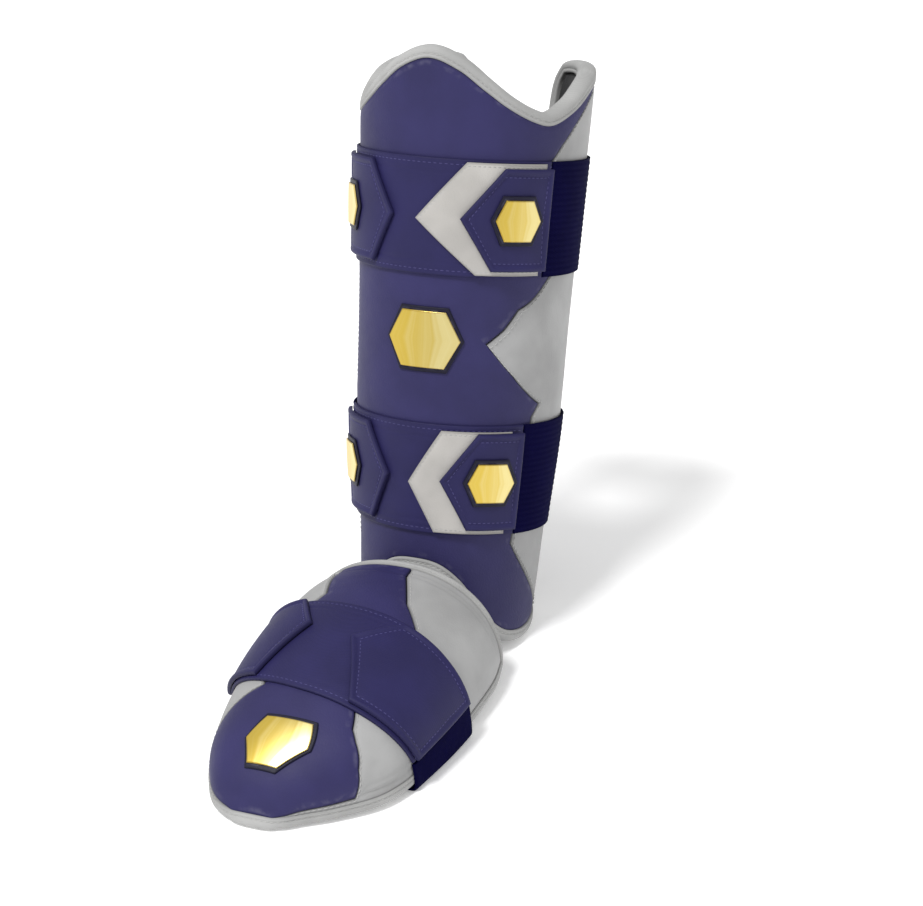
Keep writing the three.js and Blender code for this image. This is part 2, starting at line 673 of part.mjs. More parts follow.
function foot() {
  const group = new THREE.Group();
  const left = (back) => straight(FOOT_SEAMS, 'back', back, 'left');
  const right = (back) => straight(FOOT_SEAMS, 'back', back, 'right');
  const gap = SEAM_GAP / (FOOT_WIDTH / 2);
  group.add(piece('foot_center_panel', footPanel(left, right, FOOT_COLUMNS), 'navy'));
  group.add(piece('foot_right_side', footPanel((b) => right(b) + gap, () => 1, FOOT_SIDE_COLUMNS), 'grey'));
  group.add(piece('foot_left_side', footPanel(() => -1, (b) => left(b) - gap, FOOT_SIDE_COLUMNS), 'grey'));
  group.add(piece('foot_lining', footLining(), 'lining'));
  const rim = footBinding();
  group.add(piece('foot_binding', rim, 'binding'));
  group.add(piece('foot_band', footBand(), 'navyStrap'));
  group.add(piece('foot_right_tab', footTab(FOOT_RIGHT_TAB_ROWS, 1), 'navyStrap'));
  group.add(piece('foot_left_tab', footTab(FOOT_LEFT_TAB_ROWS, -1), 'navyStrap'));
  group.add(piece('foot_strap', footStrap(rim), 'elastic'));
  emblem(group, 'toe', footPlace(TOE_EMBLEM.across, TOE_EMBLEM.back), TOE_EMBLEM, LAYER_GAP, 6);
  return group;
}

// A plain cloth hinge inside the ankle: stitched inside the shin's arch and inside the foot shield's rear edge
const HINGE_ANGLE = 18;
const HINGE_ACROSS = 0.13;

function ankleHinge(shinMatrix, footMatrix) {
  const edge = BINDING_WIDTH + BINDING_GAP + HINGE_CLEARANCE;
  const clear = BINDING_PROUD + SEAM_GAP;
  const stations = [
    { shin: HINGE_OVERLAP, clear },
    { shin: -edge, clear: HINGE_CLEARANCE },
    { foot: edge, clear: HINGE_CLEARANCE },
    { foot: -HINGE_OVERLAP, clear },
  ];
  const place = (station, u, depth) => {
    if ('shin' in station) {
      const angle = u * HINGE_ANGLE;
      const low = SHIN_HEIGHT * smooth(BOTTOM_EDGE, 'angle', Math.abs(angle), 'height');
      return onShin(angle, low + station.shin, -SHIN_WALL - station.clear - depth).applyMatrix4(shinMatrix);
    }
    const wall = FOOT_SKIN + SKIN_GAP + FOOT_LINING;
    const back = 1 + station.foot / FOOT_LENGTH;
    return onFoot(u * HINGE_ACROSS, back, -wall - station.clear - depth).applyMatrix4(footMatrix);
  };
  return sheet(spread(-1, 1, HINGE_COLUMNS), spread(0, 3, HINGE_COLUMNS), (u, along, side) => {
    const first = Math.min(Math.floor(along), 2);
    const depth = side ? 0 : HINGE_THICKNESS;
    return place(stations[first], u, depth).lerp(place(stations[first + 1], u, depth), along - first);
  });
}

const guard = new THREE.Group();
const footGroup = foot();
footGroup.rotation.x = FOOT_PITCH * DEGREES;
const shinGroup = shin();
shinGroup.rotation.x = -LEAN * DEGREES;
shinGroup.position.y = FOOT_LENGTH + BINDING_WIDTH + ANKLE_SETBACK;
guard.add(footGroup, shinGroup);

// Both shields stand on the floor, and the origin is under the middle of the whole guard
for (const group of [footGroup, shinGroup]) {
  group.position.z -= new THREE.Box3().setFromObject(group, true).min.z;
}
for (const group of [footGroup, shinGroup]) group.updateMatrix();
guard.add(piece('ankle_hinge', ankleHinge(shinGroup.matrix, footGroup.matrix), 'lining'));
const middle = new THREE.Box3().setFromObject(guard, true).getCenter(new THREE.Vector3());
guard.position.set(-middle.x, -middle.y, 0);
guard.updateMatrixWorld(true);

export default guard;
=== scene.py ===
# %% [markdown]
# # A batter's leg guard
# The guard is two padded shields joined at the ankle. Foam and synthetic leather panels are sewn edge to
# edge, a folded tape closes their rims, and straps with stiff tabs go round the calf and under the sole.
# The CAD model holds the true sizes. This lesson dresses it: each plain solid is replaced by a finer piece
# that lies on the same surface, with rounded edges, sewn seams and stitches.

# %% Load the fixed frame
import math

import bpy
import numpy as np
from mathutils import Matrix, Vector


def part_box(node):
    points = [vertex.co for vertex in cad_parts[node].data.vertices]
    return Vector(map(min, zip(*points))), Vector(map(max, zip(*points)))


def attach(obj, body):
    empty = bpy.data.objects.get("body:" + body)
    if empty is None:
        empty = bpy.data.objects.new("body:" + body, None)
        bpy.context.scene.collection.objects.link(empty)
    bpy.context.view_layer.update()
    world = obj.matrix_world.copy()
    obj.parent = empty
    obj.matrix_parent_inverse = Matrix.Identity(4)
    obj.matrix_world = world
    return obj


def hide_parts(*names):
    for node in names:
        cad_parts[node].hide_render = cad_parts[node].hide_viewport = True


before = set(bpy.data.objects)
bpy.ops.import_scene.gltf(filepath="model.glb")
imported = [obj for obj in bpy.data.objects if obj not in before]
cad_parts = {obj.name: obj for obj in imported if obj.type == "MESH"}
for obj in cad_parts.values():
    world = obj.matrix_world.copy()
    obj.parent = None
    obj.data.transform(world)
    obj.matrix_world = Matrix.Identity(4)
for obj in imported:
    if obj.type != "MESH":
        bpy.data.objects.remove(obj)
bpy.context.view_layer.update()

# %% [markdown]
# ## The driving sizes
# Everything below is worked out in millimetres from these sizes, which are the real guard's. Tables hold
# shares of them, one row for each section, as a pattern cutter's chart would.

# %% Sizes of the guard
MM = 0.001
SHIN_HEIGHT, CALF_WIDTH, CALF_DEPTH = 361, 142, 158
SHIN_SKIN, SHIN_LINING, LEAN = 5, 4, 15.5
FOOT_LENGTH, FOOT_WIDTH, FOOT_HEIGHT, FOOT_ROUNDNESS = 190, 158, 66.5, 2.2
FOOT_SKIN, FOOT_LINING, FOOT_PITCH = 3.5, 5, 1.9
TAPE_WIDTH, TAPE_GAP, TAPE_PROUD = 7, 0.6, 0.7
STRAP_WIDTH, STRAP_THICKNESS, TAB_THICKNESS, PATCH_THICKNESS = 70, 1.6, 2.6, 1.0
STRAP_BASE = {"upper": 233, "lower": 72}
LAYER = {"band": 0.7, "elastic": 1.1, "patch": 3.2, "tab": 5.1}
BAND_TOP = LAYER["band"] + STRAP_THICKNESS
SKIN_GAP = 1.4

# %% Sections of the shin shield: height, width, depth
SHIN_SECTIONS = [
    (0.0, 0.76, 0.69), (0.2, 0.825, 0.745), (0.37, 0.89, 0.845), (0.56, 0.915, 0.90),
    (0.75, 0.95, 0.95), (0.95, 0.993, 0.987), (1.1, 1.0, 1.0),
]
TOP_EDGE = [
    (-15, 0.983), (0, 1.0), (15, 0.983), (28, 0.952), (40, 0.925), (53, 0.905), (64, 0.899),
    (79, 0.92), (98, 0.956), (120, 0.976), (140, 0.978), (150, 0.97),
]
BOTTOM_EDGE = [
    (-15, 0.144), (0, 0.15), (15, 0.144), (28, 0.12), (40, 0.083), (52, 0.046), (64, 0.024),
    (78, 0.017), (92, 0.021), (104, 0.03), (113, 0.0355), (121, 0.038), (127, 0.0395), (131, 0.045),
    (135, 0.061),
]
REAR_EDGE = [
    (0.0, 129.5), (0.04, 132.5), (0.12, 133.5), (0.25, 134), (0.43, 137), (0.6, 142), (0.75, 147),
    (0.9, 150), (0.96, 149), (0.985, 147), (1.0, 143),
]
LEFT_SEAM_LEAST = 66
ZIGZAG = [
    (0.0, 108.0), (0.03, 104.0), (0.085, 88.2), (0.129, 75.4), (0.176, 62.0), (0.435, 67.9),
    (0.458, 72.8), (0.482, 63.5), (0.503, 53.0), (0.513, 44.5), (0.523, 36.6), (0.58, 46.0),
    (0.636, 53.6), (0.709, 74.4), (0.927, 66.0), (0.95, 73.0), (0.969, 82.0), (0.984, 98.0),
    (1.0, 117.0),
]

# %% Sections of the foot shield: back, left rim, right rim, height; and its seams: back, left, right
FOOT_SECTIONS = [
    (0.0, 0.33, -0.02, 0.111), (0.012, 0.42, 0.06, 0.205), (0.042, 0.53, 0.16, 0.353),
    (0.094, 0.63, 0.34, 0.489), (0.19, 0.75, 0.59, 0.654), (0.28, 0.81, 0.7, 0.759),
    (0.38, 0.86, 0.75, 0.85), (0.566, 0.92, 0.81, 0.947), (0.75, 0.94, 0.83, 0.992),
    (0.895, 0.93, 0.82, 1.0), (1.0, 0.86, 0.77, 0.977),
]
FOOT_SEAMS = [
    (0.0, -0.92, 0.92), (0.1, -0.93, 0.94), (0.145, -0.93, 0.94), (0.18, -0.93, 0.66),
    (0.23, -0.9, 0.45), (0.257, -0.75, 0.37), (0.345, -0.3, 0.27), (0.71, -0.33, 0.32),
    (0.8, -0.26, 0.19), (0.945, -0.36, 0.08), (1.0, -0.38, 0.07),
]
FOOT_WALL = [(0.0, 0.5), (0.2, 1.0), (1.0, 1.0)]

# %% Outlines of the pieces sewn on the straps: up, from, to
TAB_ROWS = {
    "upper": [(0.06, 35, 63.5), (0.5, 19.5, 63.5), (0.94, 39, 63.5)],
    "lower": [(0.06, 30, 59), (0.5, 15, 59), (0.94, 34, 59)],
    "left": [(0.06, 28, 69), (0.5, 15, 69), (0.94, 30, 69)],
}
PATCH_ROWS = {
    "upper": [(0.02, 28, 61), (0.48, -2.5, 61), (0.98, 21.5, 61)],
    "lower": [(0.02, 12, 53), (0.46, -3, 53), (0.95, 15, 53)],
}
FOOT_TAB_ROWS = {
    "right": [(0.03, 0.25, 0.89), (0.6, 0.06, 0.89), (0.95, 0.27, 0.89)],
    "left": [(0.03, 0.37, 0.89), (0.66, 0.165, 0.89), (0.97, 0.31, 0.89)],
}
BADGE_ROWS = [(0, 0.6), (0.5, 1), (1, 0.6)]

# %% [markdown]
# ## Reading the tables
# A row of a table is a station. Between stations a seam runs straight, and a padded form runs on a smooth
# curve. Both readers take whole arrays, so that a piece with many thousand points is made in one step.

# %% Straight and smooth readers
def straight(rows, place, column=1):
    table = np.array(rows, float)
    return np.interp(place, table[:, 0], table[:, column])


def smooth(rows, place, column=1):
    table = np.array(rows, float)
    keys, values = table[:, 0], table[:, column]
    row, last = np.arange(len(keys)), len(keys) - 1
    before, after = np.maximum(row - 1, 0), np.minimum(row + 1, last)
    slopes = (values[after] - values[before]) / (keys[after] - keys[before])
    place = np.clip(place, keys[0], keys[-1])
    i = np.clip(np.searchsorted(keys, place, side="right") - 1, 0, last - 1)
    step = keys[i + 1] - keys[i]
    t = (place - keys[i]) / step
    start = (2 * t**3 - 3 * t**2 + 1) * values[i] + (t**3 - 2 * t**2 + t) * step * slopes[i]
    return start + (3 * t**2 - 2 * t**3) * values[i + 1] + (t**3 - t**2) * step * slopes[i + 1]


print("top edge at 64 degrees:", round(float(smooth(TOP_EDGE, 64)) * SHIN_HEIGHT, 1), "mm")

# %% [markdown]
# ## The two carrying surfaces
# Each shield is one smooth surface with a distance out of it. A point on the shin is an angle round the calf
# and a height, and a point on the foot is a share across and a share back. Every piece is drawn in these
# terms, so it can't float off the body or sink into it.

# %% The shin's face
def shin_face(angle, height, out):
    share = height / SHIN_HEIGHT
    a = CALF_WIDTH / 2 * smooth(SHIN_SECTIONS, share, 1)
    b = CALF_DEPTH / 2 * smooth(SHIN_SECTIONS, share, 2)
    turn = np.radians(angle)
    x, y = np.sin(turn), -np.cos(turn)
    length = np.hypot(b * x, a * y)
    return np.stack([a * x + out * b * x / length, b * y + out * a * y / length, height + 0 * x], -1)


def climbed(angle, climb):
    low = SHIN_HEIGHT * smooth(BOTTOM_EDGE, np.abs(angle))
    high = SHIN_HEIGHT * smooth(TOP_EDGE, np.abs(angle))
    return low + (high - low) * climb


# %% The foot's face
def foot_rim(side, back):
    return side * FOOT_WIDTH / 2 * smooth(FOOT_SECTIONS, back, 1 if side < 0 else 2)


def foot_shape(across, back):
    rim = TAPE_WIDTH + TAPE_GAP
    left, right = foot_rim(-1, back), foot_rim(1, back)
    ridge = np.maximum(FOOT_HEIGHT * smooth(FOOT_SECTIONS, back, 3), rim)
    turn = math.pi * (across + 1) / 2
    c, s = np.cos(turn), np.abs(np.sin(turn))
    power = 2 / FOOT_ROUNDNESS
    x = (left + right) / 2 - (right - left) / 2 * np.sign(c) * np.abs(c) ** power
    return np.stack([x, back * FOOT_LENGTH, rim + (ridge - rim) * s**power], -1)


def foot_face(across, back, out):
    reach = 0.01
    a, b = np.clip(across, -0.97, 0.97), np.clip(back, 2 * reach, 1 - reach)
    along = foot_shape(a + reach, b) - foot_shape(a - reach, b)
    up = foot_shape(a, b + reach) - foot_shape(a, b - reach)
    normal = np.cross(along, up)
    normal /= np.linalg.norm(normal, axis=-1, keepdims=True)
    return foot_shape(across, back) + normal * np.asarray(out)[..., None]


# %% [markdown]
# ## Seating the surfaces on the frame
# The shields lean, so each surface is turned by its angle and then moved until its box lies on the box of
# the CAD node that it belongs to. Nothing is placed by eye.

# %% Turn and seat
def turned(points, degrees):
    c, s = math.cos(math.radians(degrees)), math.sin(math.radians(degrees))
    x, y, z = np.moveaxis(points, -1, 0)
    return np.stack([x, c * y - s * z, s * y + c * z], -1)


def seat(points, node):
    flat = points.reshape(-1, 3)
    low, high = [np.array(corner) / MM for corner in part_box(node)]
    return (low + high) / 2 - (flat.min(0) + flat.max(0)) / 2


def zigzag(climb):
    return straight(ZIGZAG, climb)


def left_zigzag(climb):
    return np.maximum(zigzag(climb), LEFT_SEAM_LEAST)


def rear(climb):
    return smooth(REAR_EDGE, climb)


SPAN, CLIMB, SIDE = np.meshgrid(
    np.linspace(-1, 1, 61), np.linspace(0, 1, 121), [0, -SHIN_SKIN], indexing="ij",
)
PANEL_ANGLE = SPAN * zigzag(CLIMB)
SHIN_SEAT = seat(turned(shin_face(PANEL_ANGLE, climbed(PANEL_ANGLE, CLIMB), SIDE), -LEAN), "shin_front_panel")
BAND_START, BAND_WIDTH, BAND_SKEW, BAND_END = 61, 75, 15, 0.9
BAND_SWEEP = [(0, 19), (1, 6)]
ACROSS, BACK = np.meshgrid(np.linspace(-BAND_END, BAND_END, 61), np.linspace(0, 1, 61), indexing="ij")


def band_back(up, across):
    sweep = across**2 * straight(BAND_SWEEP, up)
    return (BAND_START - BAND_SKEW * across + sweep + up * BAND_WIDTH) / FOOT_LENGTH


BAND_FACE = foot_face(ACROSS, band_back(BACK, ACROSS), BAND_TOP + 0 * ACROSS)
BAND_UNDER = foot_face(ACROSS, band_back(BACK, ACROSS), LAYER["band"] + 0 * ACROSS)
FOOT_SEAT = seat(turned(np.stack([BAND_FACE, BAND_UNDER]), FOOT_PITCH), "foot_band")
print("shin seat:", SHIN_SEAT.round(2), "foot seat:", FOOT_SEAT.round(2))


def on_shin(angle, height, out):
    return turned(shin_face(angle, height, out), -LEAN) + SHIN_SEAT


def up_shin(angle, climb, out):
    return on_shin(angle, climbed(angle, climb), out)


def on_foot(across, back, out):
    return turned(foot_face(across, back, out), FOOT_PITCH) + FOOT_SEAT


# %% [markdown]
# ## Paint in linear light
# Colours are written as they look on a screen, and a shader wants linear light, so one small function
# converts them.

# %% Colours
def paint(red, green, blue):
    def linear(channel):
        share = channel / 255
        return share / 12.92 if share <= 0.04045 else ((share + 0.055) / 1.055) ** 2.4
    return (linear(red), linear(green), linear(blue), 1)


NAVY = paint(45, 42, 86)
STRAP_NAVY = paint(38, 35, 82)
ELASTIC_NAVY = paint(9, 7, 51)
GREY = paint(160, 160, 160)
TAPE = paint(172, 172, 171)
BLACK = paint(24, 24, 27)
OUTLINE = paint(22, 20, 44)
GOLD = paint(206, 176, 66)

# %% [markdown]
# ## Shader sums written as sums
# A finish mixes patterns with painted light: grain, weave, painted shade in the seams. Written with nodes
# that takes dozens of lines, so a small class wraps a socket and turns plus, minus and times into Math nodes.
# Any other node comes from one method, which sets its options first and then its inputs.

# %% A socket that can be used in sums
class Wire:
    def __init__(self, tree, socket=None):
        self.tree = tree
        self.socket = socket

    def node(self, kind, settings=None, values=None, output=0):
        made = self.tree.nodes.new(f"ShaderNode{kind}")
        for name, value in (settings or {}).items():
            setattr(made, name, value)
        for name, value in (values or {}).items():
            if isinstance(value, Wire):
                self.tree.links.new(value.socket, made.inputs[name])
            else:
                made.inputs[name].default_value = value
        return Wire(self.tree, made.outputs[output])

    def math(self, operation, *values):
        return self.node("Math", {"operation": operation}, dict(enumerate(values)))

    def __add__(self, other):
        return self.math("ADD", self, other)

    def __sub__(self, other):
        return self.math("SUBTRACT", self, other)

    def __rsub__(self, other):
        return self.math("SUBTRACT", other, self)

    def __mul__(self, other):
        return self.math("MULTIPLY", self, other)

    __radd__ = __add__
    __rmul__ = __mul__

    def between(self, low, high):
        return self.node("MapRange", {"interpolation_type": "SMOOTHSTEP"}, {"Value": self, 1: low, 2: high})

    def blend(self, first, second):
        return self.node("Mix", {"data_type": "RGBA"}, {0: self, 6: first, 7: second}, output=2)

    def millimetres(self):
        place = self.node("TexCoord", output="Object")
        return self.node("VectorMath", {"operation": "SCALE"}, {0: place, "Scale": 1 / MM})

    def noise(self, place, size, detail=2.0):
        return self.node("TexNoise", {}, {"Vector": place, "Scale": 1 / size, "Detail": detail})

    def measure(self, name):
        return self.node("Attribute", {"attribute_name": name}, output="Fac")


# %% A finish starts here and is closed here
def start_finish(name):
    material = bpy.data.materials.new(name)
    material.use_nodes = True
    return material, Wire(material.node_tree)


def close_finish(material, wire, colour, roughness, height, depth, fixed=None):
    shader = material.node_tree.nodes["Principled BSDF"]
    bump = wire.node("Bump", {}, {"Strength": 1.0, "Distance": depth * MM, "Height": height}, output="Normal")
    inputs = {"Base Color": colour, "Roughness": roughness, "Normal": bump, **(fixed or {})}
    for name, value in inputs.items():
        if isinstance(value, Wire):
            material.node_tree.links.new(value.socket, shader.inputs[name])
        else:
            shader.inputs[name].default_value = value
    return material


SOFT_GLOSS = 0.25


def shade(colour, share):
    return tuple(channel * share for channel in colour[:3]) + (1,)


# %% [markdown]
# ## Synthetic leather
# The panels are foam under a matt coated cloth with a fine pebble. Cells of about a millimetre give the
# pebble, a broad soft noise keeps the colour from being flat, painted shade darkens the colour close to the
# seams, and a band inside the raised rim is a little paler in patches: partly wear, partly painted highlight.

# %% Leather
def leather(name, colour, roughness, pebble=1.3):
    material, wire = start_finish(name)
    place = wire.millimetres()
    grain = {"Vector": place, "Scale": 1 / pebble}
    cells = wire.node("TexVoronoi", {"feature": "F1"}, grain, output="Distance")
    fine = wire.noise(place, 0.5, 3)
    broad = wire.noise(place, 42, 3)
    scuffs = wire.noise(place, 7, 5)
    edge = wire.measure("edge")
    # Painted shade: the colour darkens within about 2 mm of a piece's edge, in the seams.
    edge_shade = 1 - edge.between(0.2, 2.2)
    # Painted highlight, partly wear: a band just inside the raised rim turns paler in patches.
    rim_wear_and_highlight = edge.between(1.2, 2.4) * (1 - edge.between(2.4, 6.0)) * scuffs.between(0.45, 0.7)
    tone = broad.between(0.3, 0.7).blend(shade(colour, 0.86), shade(colour, 1.1))
    edge_shaded = (edge_shade * 0.6).blend(tone, shade(colour, 0.45))
    shaded_and_highlighted = (rim_wear_and_highlight * 0.07).blend(edge_shaded, paint(205, 203, 214))
    gloss = scuffs * 0.12 + fine * 0.08 + (roughness - 0.1)
    height = 1 - cells + fine * 0.5
    return close_finish(material, wire, shaded_and_highlighted, gloss, height, 0.07, {"Specular IOR Level": SOFT_GLOSS})


NAVY_LEATHER = leather("navy_leather", NAVY, 0.58)
GREY_LEATHER = leather("grey_leather", GREY, 0.6)
PATCH_LEATHER = leather("patch_leather", paint(180, 177, 173), 0.55, 1.0)
OUTLINE_LEATHER = leather("outline_leather", OUTLINE, 0.5, 0.8)
print("leathers made")

# %% [markdown]
# ## Woven cloths
# The straps are coated webbing, the back of each loop is elastic, the rims are folded tape and the inside is
# a brushed knit. All four are two crossed waves, with the size and depth of each cloth. The waves run in
# object space, so they need no unwrapping.

# %% Cloth
def cloth(name, colour, roughness, thread, depth, ribs=1.0, sheen=0.0, gloss=SOFT_GLOSS):
    material, wire = start_finish(name)
    place = wire.millimetres()
    scale = 1 / (thread * 2 * math.pi)
    waves = {"Vector": place, "Scale": scale * 2, "Distortion": 0.4}
    warp = wire.node("TexWave", {"bands_direction": "X"}, waves)
    weft = wire.node("TexWave", {"bands_direction": "Z"}, waves)
    fuzz = wire.noise(place, 0.35, 3)
    broad = wire.noise(place, 30, 3)
    edge = wire.measure("edge")
    # Painted shade: the colour darkens within about 2 mm of a piece's edge, where it meets the next piece.
    edge_shade = 1 - edge.between(0.1, 1.8)
    tone = broad.between(0.3, 0.7).blend(shade(colour, 0.88), shade(colour, 1.08))
    edge_shaded = (edge_shade * 0.45).blend(tone, shade(colour, 0.5))
    weave = (warp * weft).between(0.15, 0.8)
    threads = ((1 - weave) * 0.22).blend(edge_shaded, shade(colour, 0.55))
    height = warp * 0.5 + weft * (0.5 * ribs) + fuzz * 0.4
    extras = {"Sheen Weight": sheen, "Specular IOR Level": gloss}
    return close_finish(material, wire, threads, roughness + fuzz * 0.1 - 0.05, height, depth, extras)


STRAP_CLOTH = cloth("strap_cloth", STRAP_NAVY, 0.6, 0.55, 0.05)
ELASTIC_CLOTH = cloth("elastic_cloth", ELASTIC_NAVY, 0.85, 1.1, 0.08, ribs=2.0, gloss=0.03)
TAPE_CLOTH = cloth("tape_cloth", TAPE, 0.75, 0.6, 0.06)
LINING_CLOTH = cloth("lining_cloth", BLACK, 0.92, 0.8, 0.12, sheen=0.15)
NAVY_THREAD = cloth("navy_thread", paint(74, 71, 122), 0.6, 0.3, 0.04)
GREY_THREAD = cloth("grey_thread", paint(178, 178, 176), 0.6, 0.3, 0.04)
print("cloths made")

# %% [markdown]
# ## The gold film
# The badges are a shiny film, welded on. It has broad upright streaks, deep gold on one side and pale on
# the other; the pale side and the pale streaks are painted sheen. The streaks follow the measure called
# across, which each piece stores on its points.

# %% Gold
def gold_film():
    material, wire = start_finish("gold_film")
    across = wire.measure("across")
    upright = {"W": across * 5.5, "Scale": 1.0, "Detail": 3.0}
    streaks = wire.node("TexNoise", {"noise_dimensions": "1D"}, upright)
    fine = wire.noise(wire.millimetres(), 0.4, 2)
    # Painted sheen: the film turns pale towards one side and along its streaks.
    painted_sheen = (across * 0.55 + streaks * 0.75).between(0.35, 1.05)
    edge = wire.measure("edge")
    tone = painted_sheen.blend(GOLD, paint(226, 212, 150))
    rimmed = ((1 - edge.between(0.3, 1.1)) * 0.5).blend(tone, paint(150, 118, 40))
    gloss = 0.24 + streaks * 0.16
    return close_finish(material, wire, rimmed, gloss, fine, 0.01, {"Metallic": 0.8})


GOLD_FILM = gold_film()
print("gold made")

# %% [markdown]
# ## From points to a piece
# A piece is a grid of points with a finish. The mesh is filled in bulk, flipped if it came out inside out,
# and gets its measures: the distance from its edge, which the finishes read, and its place across.

# %% Make a mesh piece
def make_piece(name, points, faces, finish, measures=None, sharp=50):
    corners = points[faces]
    volume = np.einsum("ij,ij->", corners[:, 0], np.cross(corners[:, 1], corners[:, 2]))
    volume += np.einsum("ij,ij->", corners[:, 0], np.cross(corners[:, 2], corners[:, 3]))
    faces = faces if volume > 0 else faces[:, ::-1]
    mesh = bpy.data.meshes.new(name)
    mesh.vertices.add(len(points))
    mesh.vertices.foreach_set("co", (points * MM).astype(np.float32).ravel())
    mesh.loops.add(faces.size)
    mesh.loops.foreach_set("vertex_index", np.ascontiguousarray(faces).astype(np.int32).ravel())
    mesh.polygons.add(len(faces))
    mesh.polygons.foreach_set("loop_start", np.arange(0, faces.size, 4, dtype=np.int32))
    mesh.update(calc_edges=True)
    mesh.shade_smooth()
    mesh.set_sharp_from_angle(angle=math.radians(sharp))
    for key, values in (measures or {}).items():
        stored = mesh.attributes.new(key, "FLOAT", "POINT").data
        stored.foreach_set("value", values.astype(np.float32).ravel())
    mesh.materials.append(finish)
    piece = bpy.data.objects.new(name, mesh)
    bpy.context.scene.collection.objects.link(piece)
    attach(piece, "root")
    return piece


# %% [markdown]
# ## A sewn panel
# A panel has a wall, a soft rounded lip all round and a flat underside. Its points are packed closer beside
# the edges, where the lip curves. The distance of each point from the four sides is measured on the surface
# itself, in millimetres, so a lip or a sewn channel keeps its width wherever the panel narrows.

# %% Stations and panels
LIP_STEPS = np.array([0, 0.1, 0.3, 0.6, 1.0, 1.6])


def stations(length, step, lip, extra=()):
    near = LIP_STEPS * lip / length
    middle = np.linspace(near[-1], 1 - near[-1], max(3, round(length / step)))
    return np.unique(np.concatenate([near, middle, 1 - near, extra]).round(6))


def side_distances(face):
    across = np.linalg.norm(np.diff(face, axis=1), axis=2)
    along = np.linalg.norm(np.diff(face, axis=0), axis=2)
    left = np.pad(np.cumsum(across, 1), ((0, 0), (1, 0)))
    low = np.pad(np.cumsum(along, 0), ((1, 0), (0, 0)))
    return {"left": left, "right": left[:, -1:] - left, "low": low, "high": low[-1:] - low}


def panel(name, place, us, vs, base, wall, finish, lip=0.8, upright=0.55, relief=None):
    u, v = np.meshgrid(us, vs)
    base = base + 0 * u
    sides = side_distances(place(u, v, base + wall))
    edge = np.minimum.reduce(list(sides.values()))
    turn = 1 - np.clip(edge / lip, 0, 1)
    rise = upright + (1 - upright) * np.sqrt(1 - turn**2)
    lift = wall * rise + (relief(sides, u, v) if relief else 0)
    points = np.concatenate([place(u, v, base).reshape(-1, 3), place(u, v, base + lift).reshape(-1, 3)])
    rows, columns = u.shape
    index = np.arange(rows * columns).reshape(rows, columns)

    def quads(grid):
        return np.stack([grid[:-1, :-1], grid[:-1, 1:], grid[1:, 1:], grid[1:, :-1]], -1).reshape(-1, 4)

    def wall_quads(line):
        return np.stack([line[:-1], line[:-1] + index.size, line[1:] + index.size, line[1:]], -1)

    under = quads(index)[:, ::-1]
    walls = [wall_quads(line) for line in (index[0, ::-1], index[:, 0], index[-1], index[::-1, -1])]
    faces = np.concatenate([under, quads(index + index.size), *[line[:, ::-1] for line in walls]])
    measures = {"edge": np.tile(edge.ravel(), 2), "across": np.tile(u.ravel(), 2)}
    return make_piece(name, points, faces, finish, measures)


def channel(distance, at, width, depth):
    return -depth * np.exp(-(((distance - at) / width) ** 2))


# %% [markdown]
# ## Stitches
# Each seam is held by a row of stitches. A stitch is a short rounded bar whose ends dip into the cloth. One
# function lays as many as fit along a line of points, and all the stitches of a seam are one piece.

# %% Rows of stitches
STITCH_SINK = 0.3


def resampled(points, spacing):
    steps = np.linalg.norm(np.diff(points, axis=0), axis=1)
    far = np.concatenate([[0], np.cumsum(steps)])
    places = np.linspace(0, far[-1], max(2, int(far[-1] / spacing)) + 1)
    return np.stack([np.interp(places, far, points[:, k]) for k in range(3)], -1)


def stitches(name, place, us, vs, out, finish, pitch=3.4, length=2.5, radius=0.34):
    line = place(us, vs, out + 0 * us)
    steps = np.linalg.norm(np.diff(line, axis=0), axis=1)
    far = np.concatenate([[0], np.cumsum(steps)])
    middles = np.arange(pitch / 2, far[-1], pitch)
    lifted = place(us, vs, out + 1.0 + 0 * us)

    def read(values, places):
        return np.stack([np.interp(places, far, values[:, k]) for k in range(3)], -1)

    centre = read(line, middles)
    up = read(lifted, middles) - centre
    along = read(line, middles + 0.6) - read(line, middles - 0.6)
    along /= np.linalg.norm(along, axis=1, keepdims=True) + 1e-9
    up /= np.linalg.norm(up, axis=1, keepdims=True)
    beside = np.cross(up, along)
    rings = [(-0.5, 0.35, -0.55), (-0.3, 0.95, 0.1), (0.3, 0.95, 0.1), (0.5, 0.35, -0.55)]
    sides = 6
    points = []
    for reach, width, lift in rings:
        for k in range(sides):
            turn = 2 * math.pi * k / sides
            side, rise = radius * width * math.cos(turn), radius * (width * math.sin(turn) + lift)
            points.append(centre + along * (reach * length) + beside * side + up * rise)
    points = np.stack(points, 1).reshape(-1, 3)
    faces = []
    for ring in range(len(rings) - 1):
        for k in range(sides):
            a, b = ring * sides + k, ring * sides + (k + 1) % sides
            faces.append([a, b, b + sides, a + sides])
    last = (len(rings) - 1) * sides
    faces += [[3, 2, 1, 0], [5, 4, 3, 0]]
    faces += [[last, last + 1, last + 2, last + 3], [last, last + 3, last + 4, last + 5]]
    count = len(middles)
    whole = (np.array(faces)[None] + (np.arange(count) * len(rings) * sides)[:, None, None]).reshape(-1, 4)
    measures = {"edge": np.full(len(points), 9.0)}
    make_piece(name, points, whole, finish, measures, 80)


def line_of(count=400):
    return np.linspace(0, 1, count)


# %% [markdown]
# ## The shin's panels
# Three panels are sewn along a zigzag seam: the dark front, and a grey wing each side. The points of the
# left seam are cut off, since its wing begins further round. The panels meet in a thin groove. Stations are
# added at every corner of the zigzag, so that its points stay sharp. The foam swells a little between the
# edge and the middle of each panel.

# %% Front panel and wings
CLIMBS = stations(300, 2.2, 1.2, [row[0] for row in ZIGZAG])
SEAM, SEAM_STITCH = 0.3, 2.2


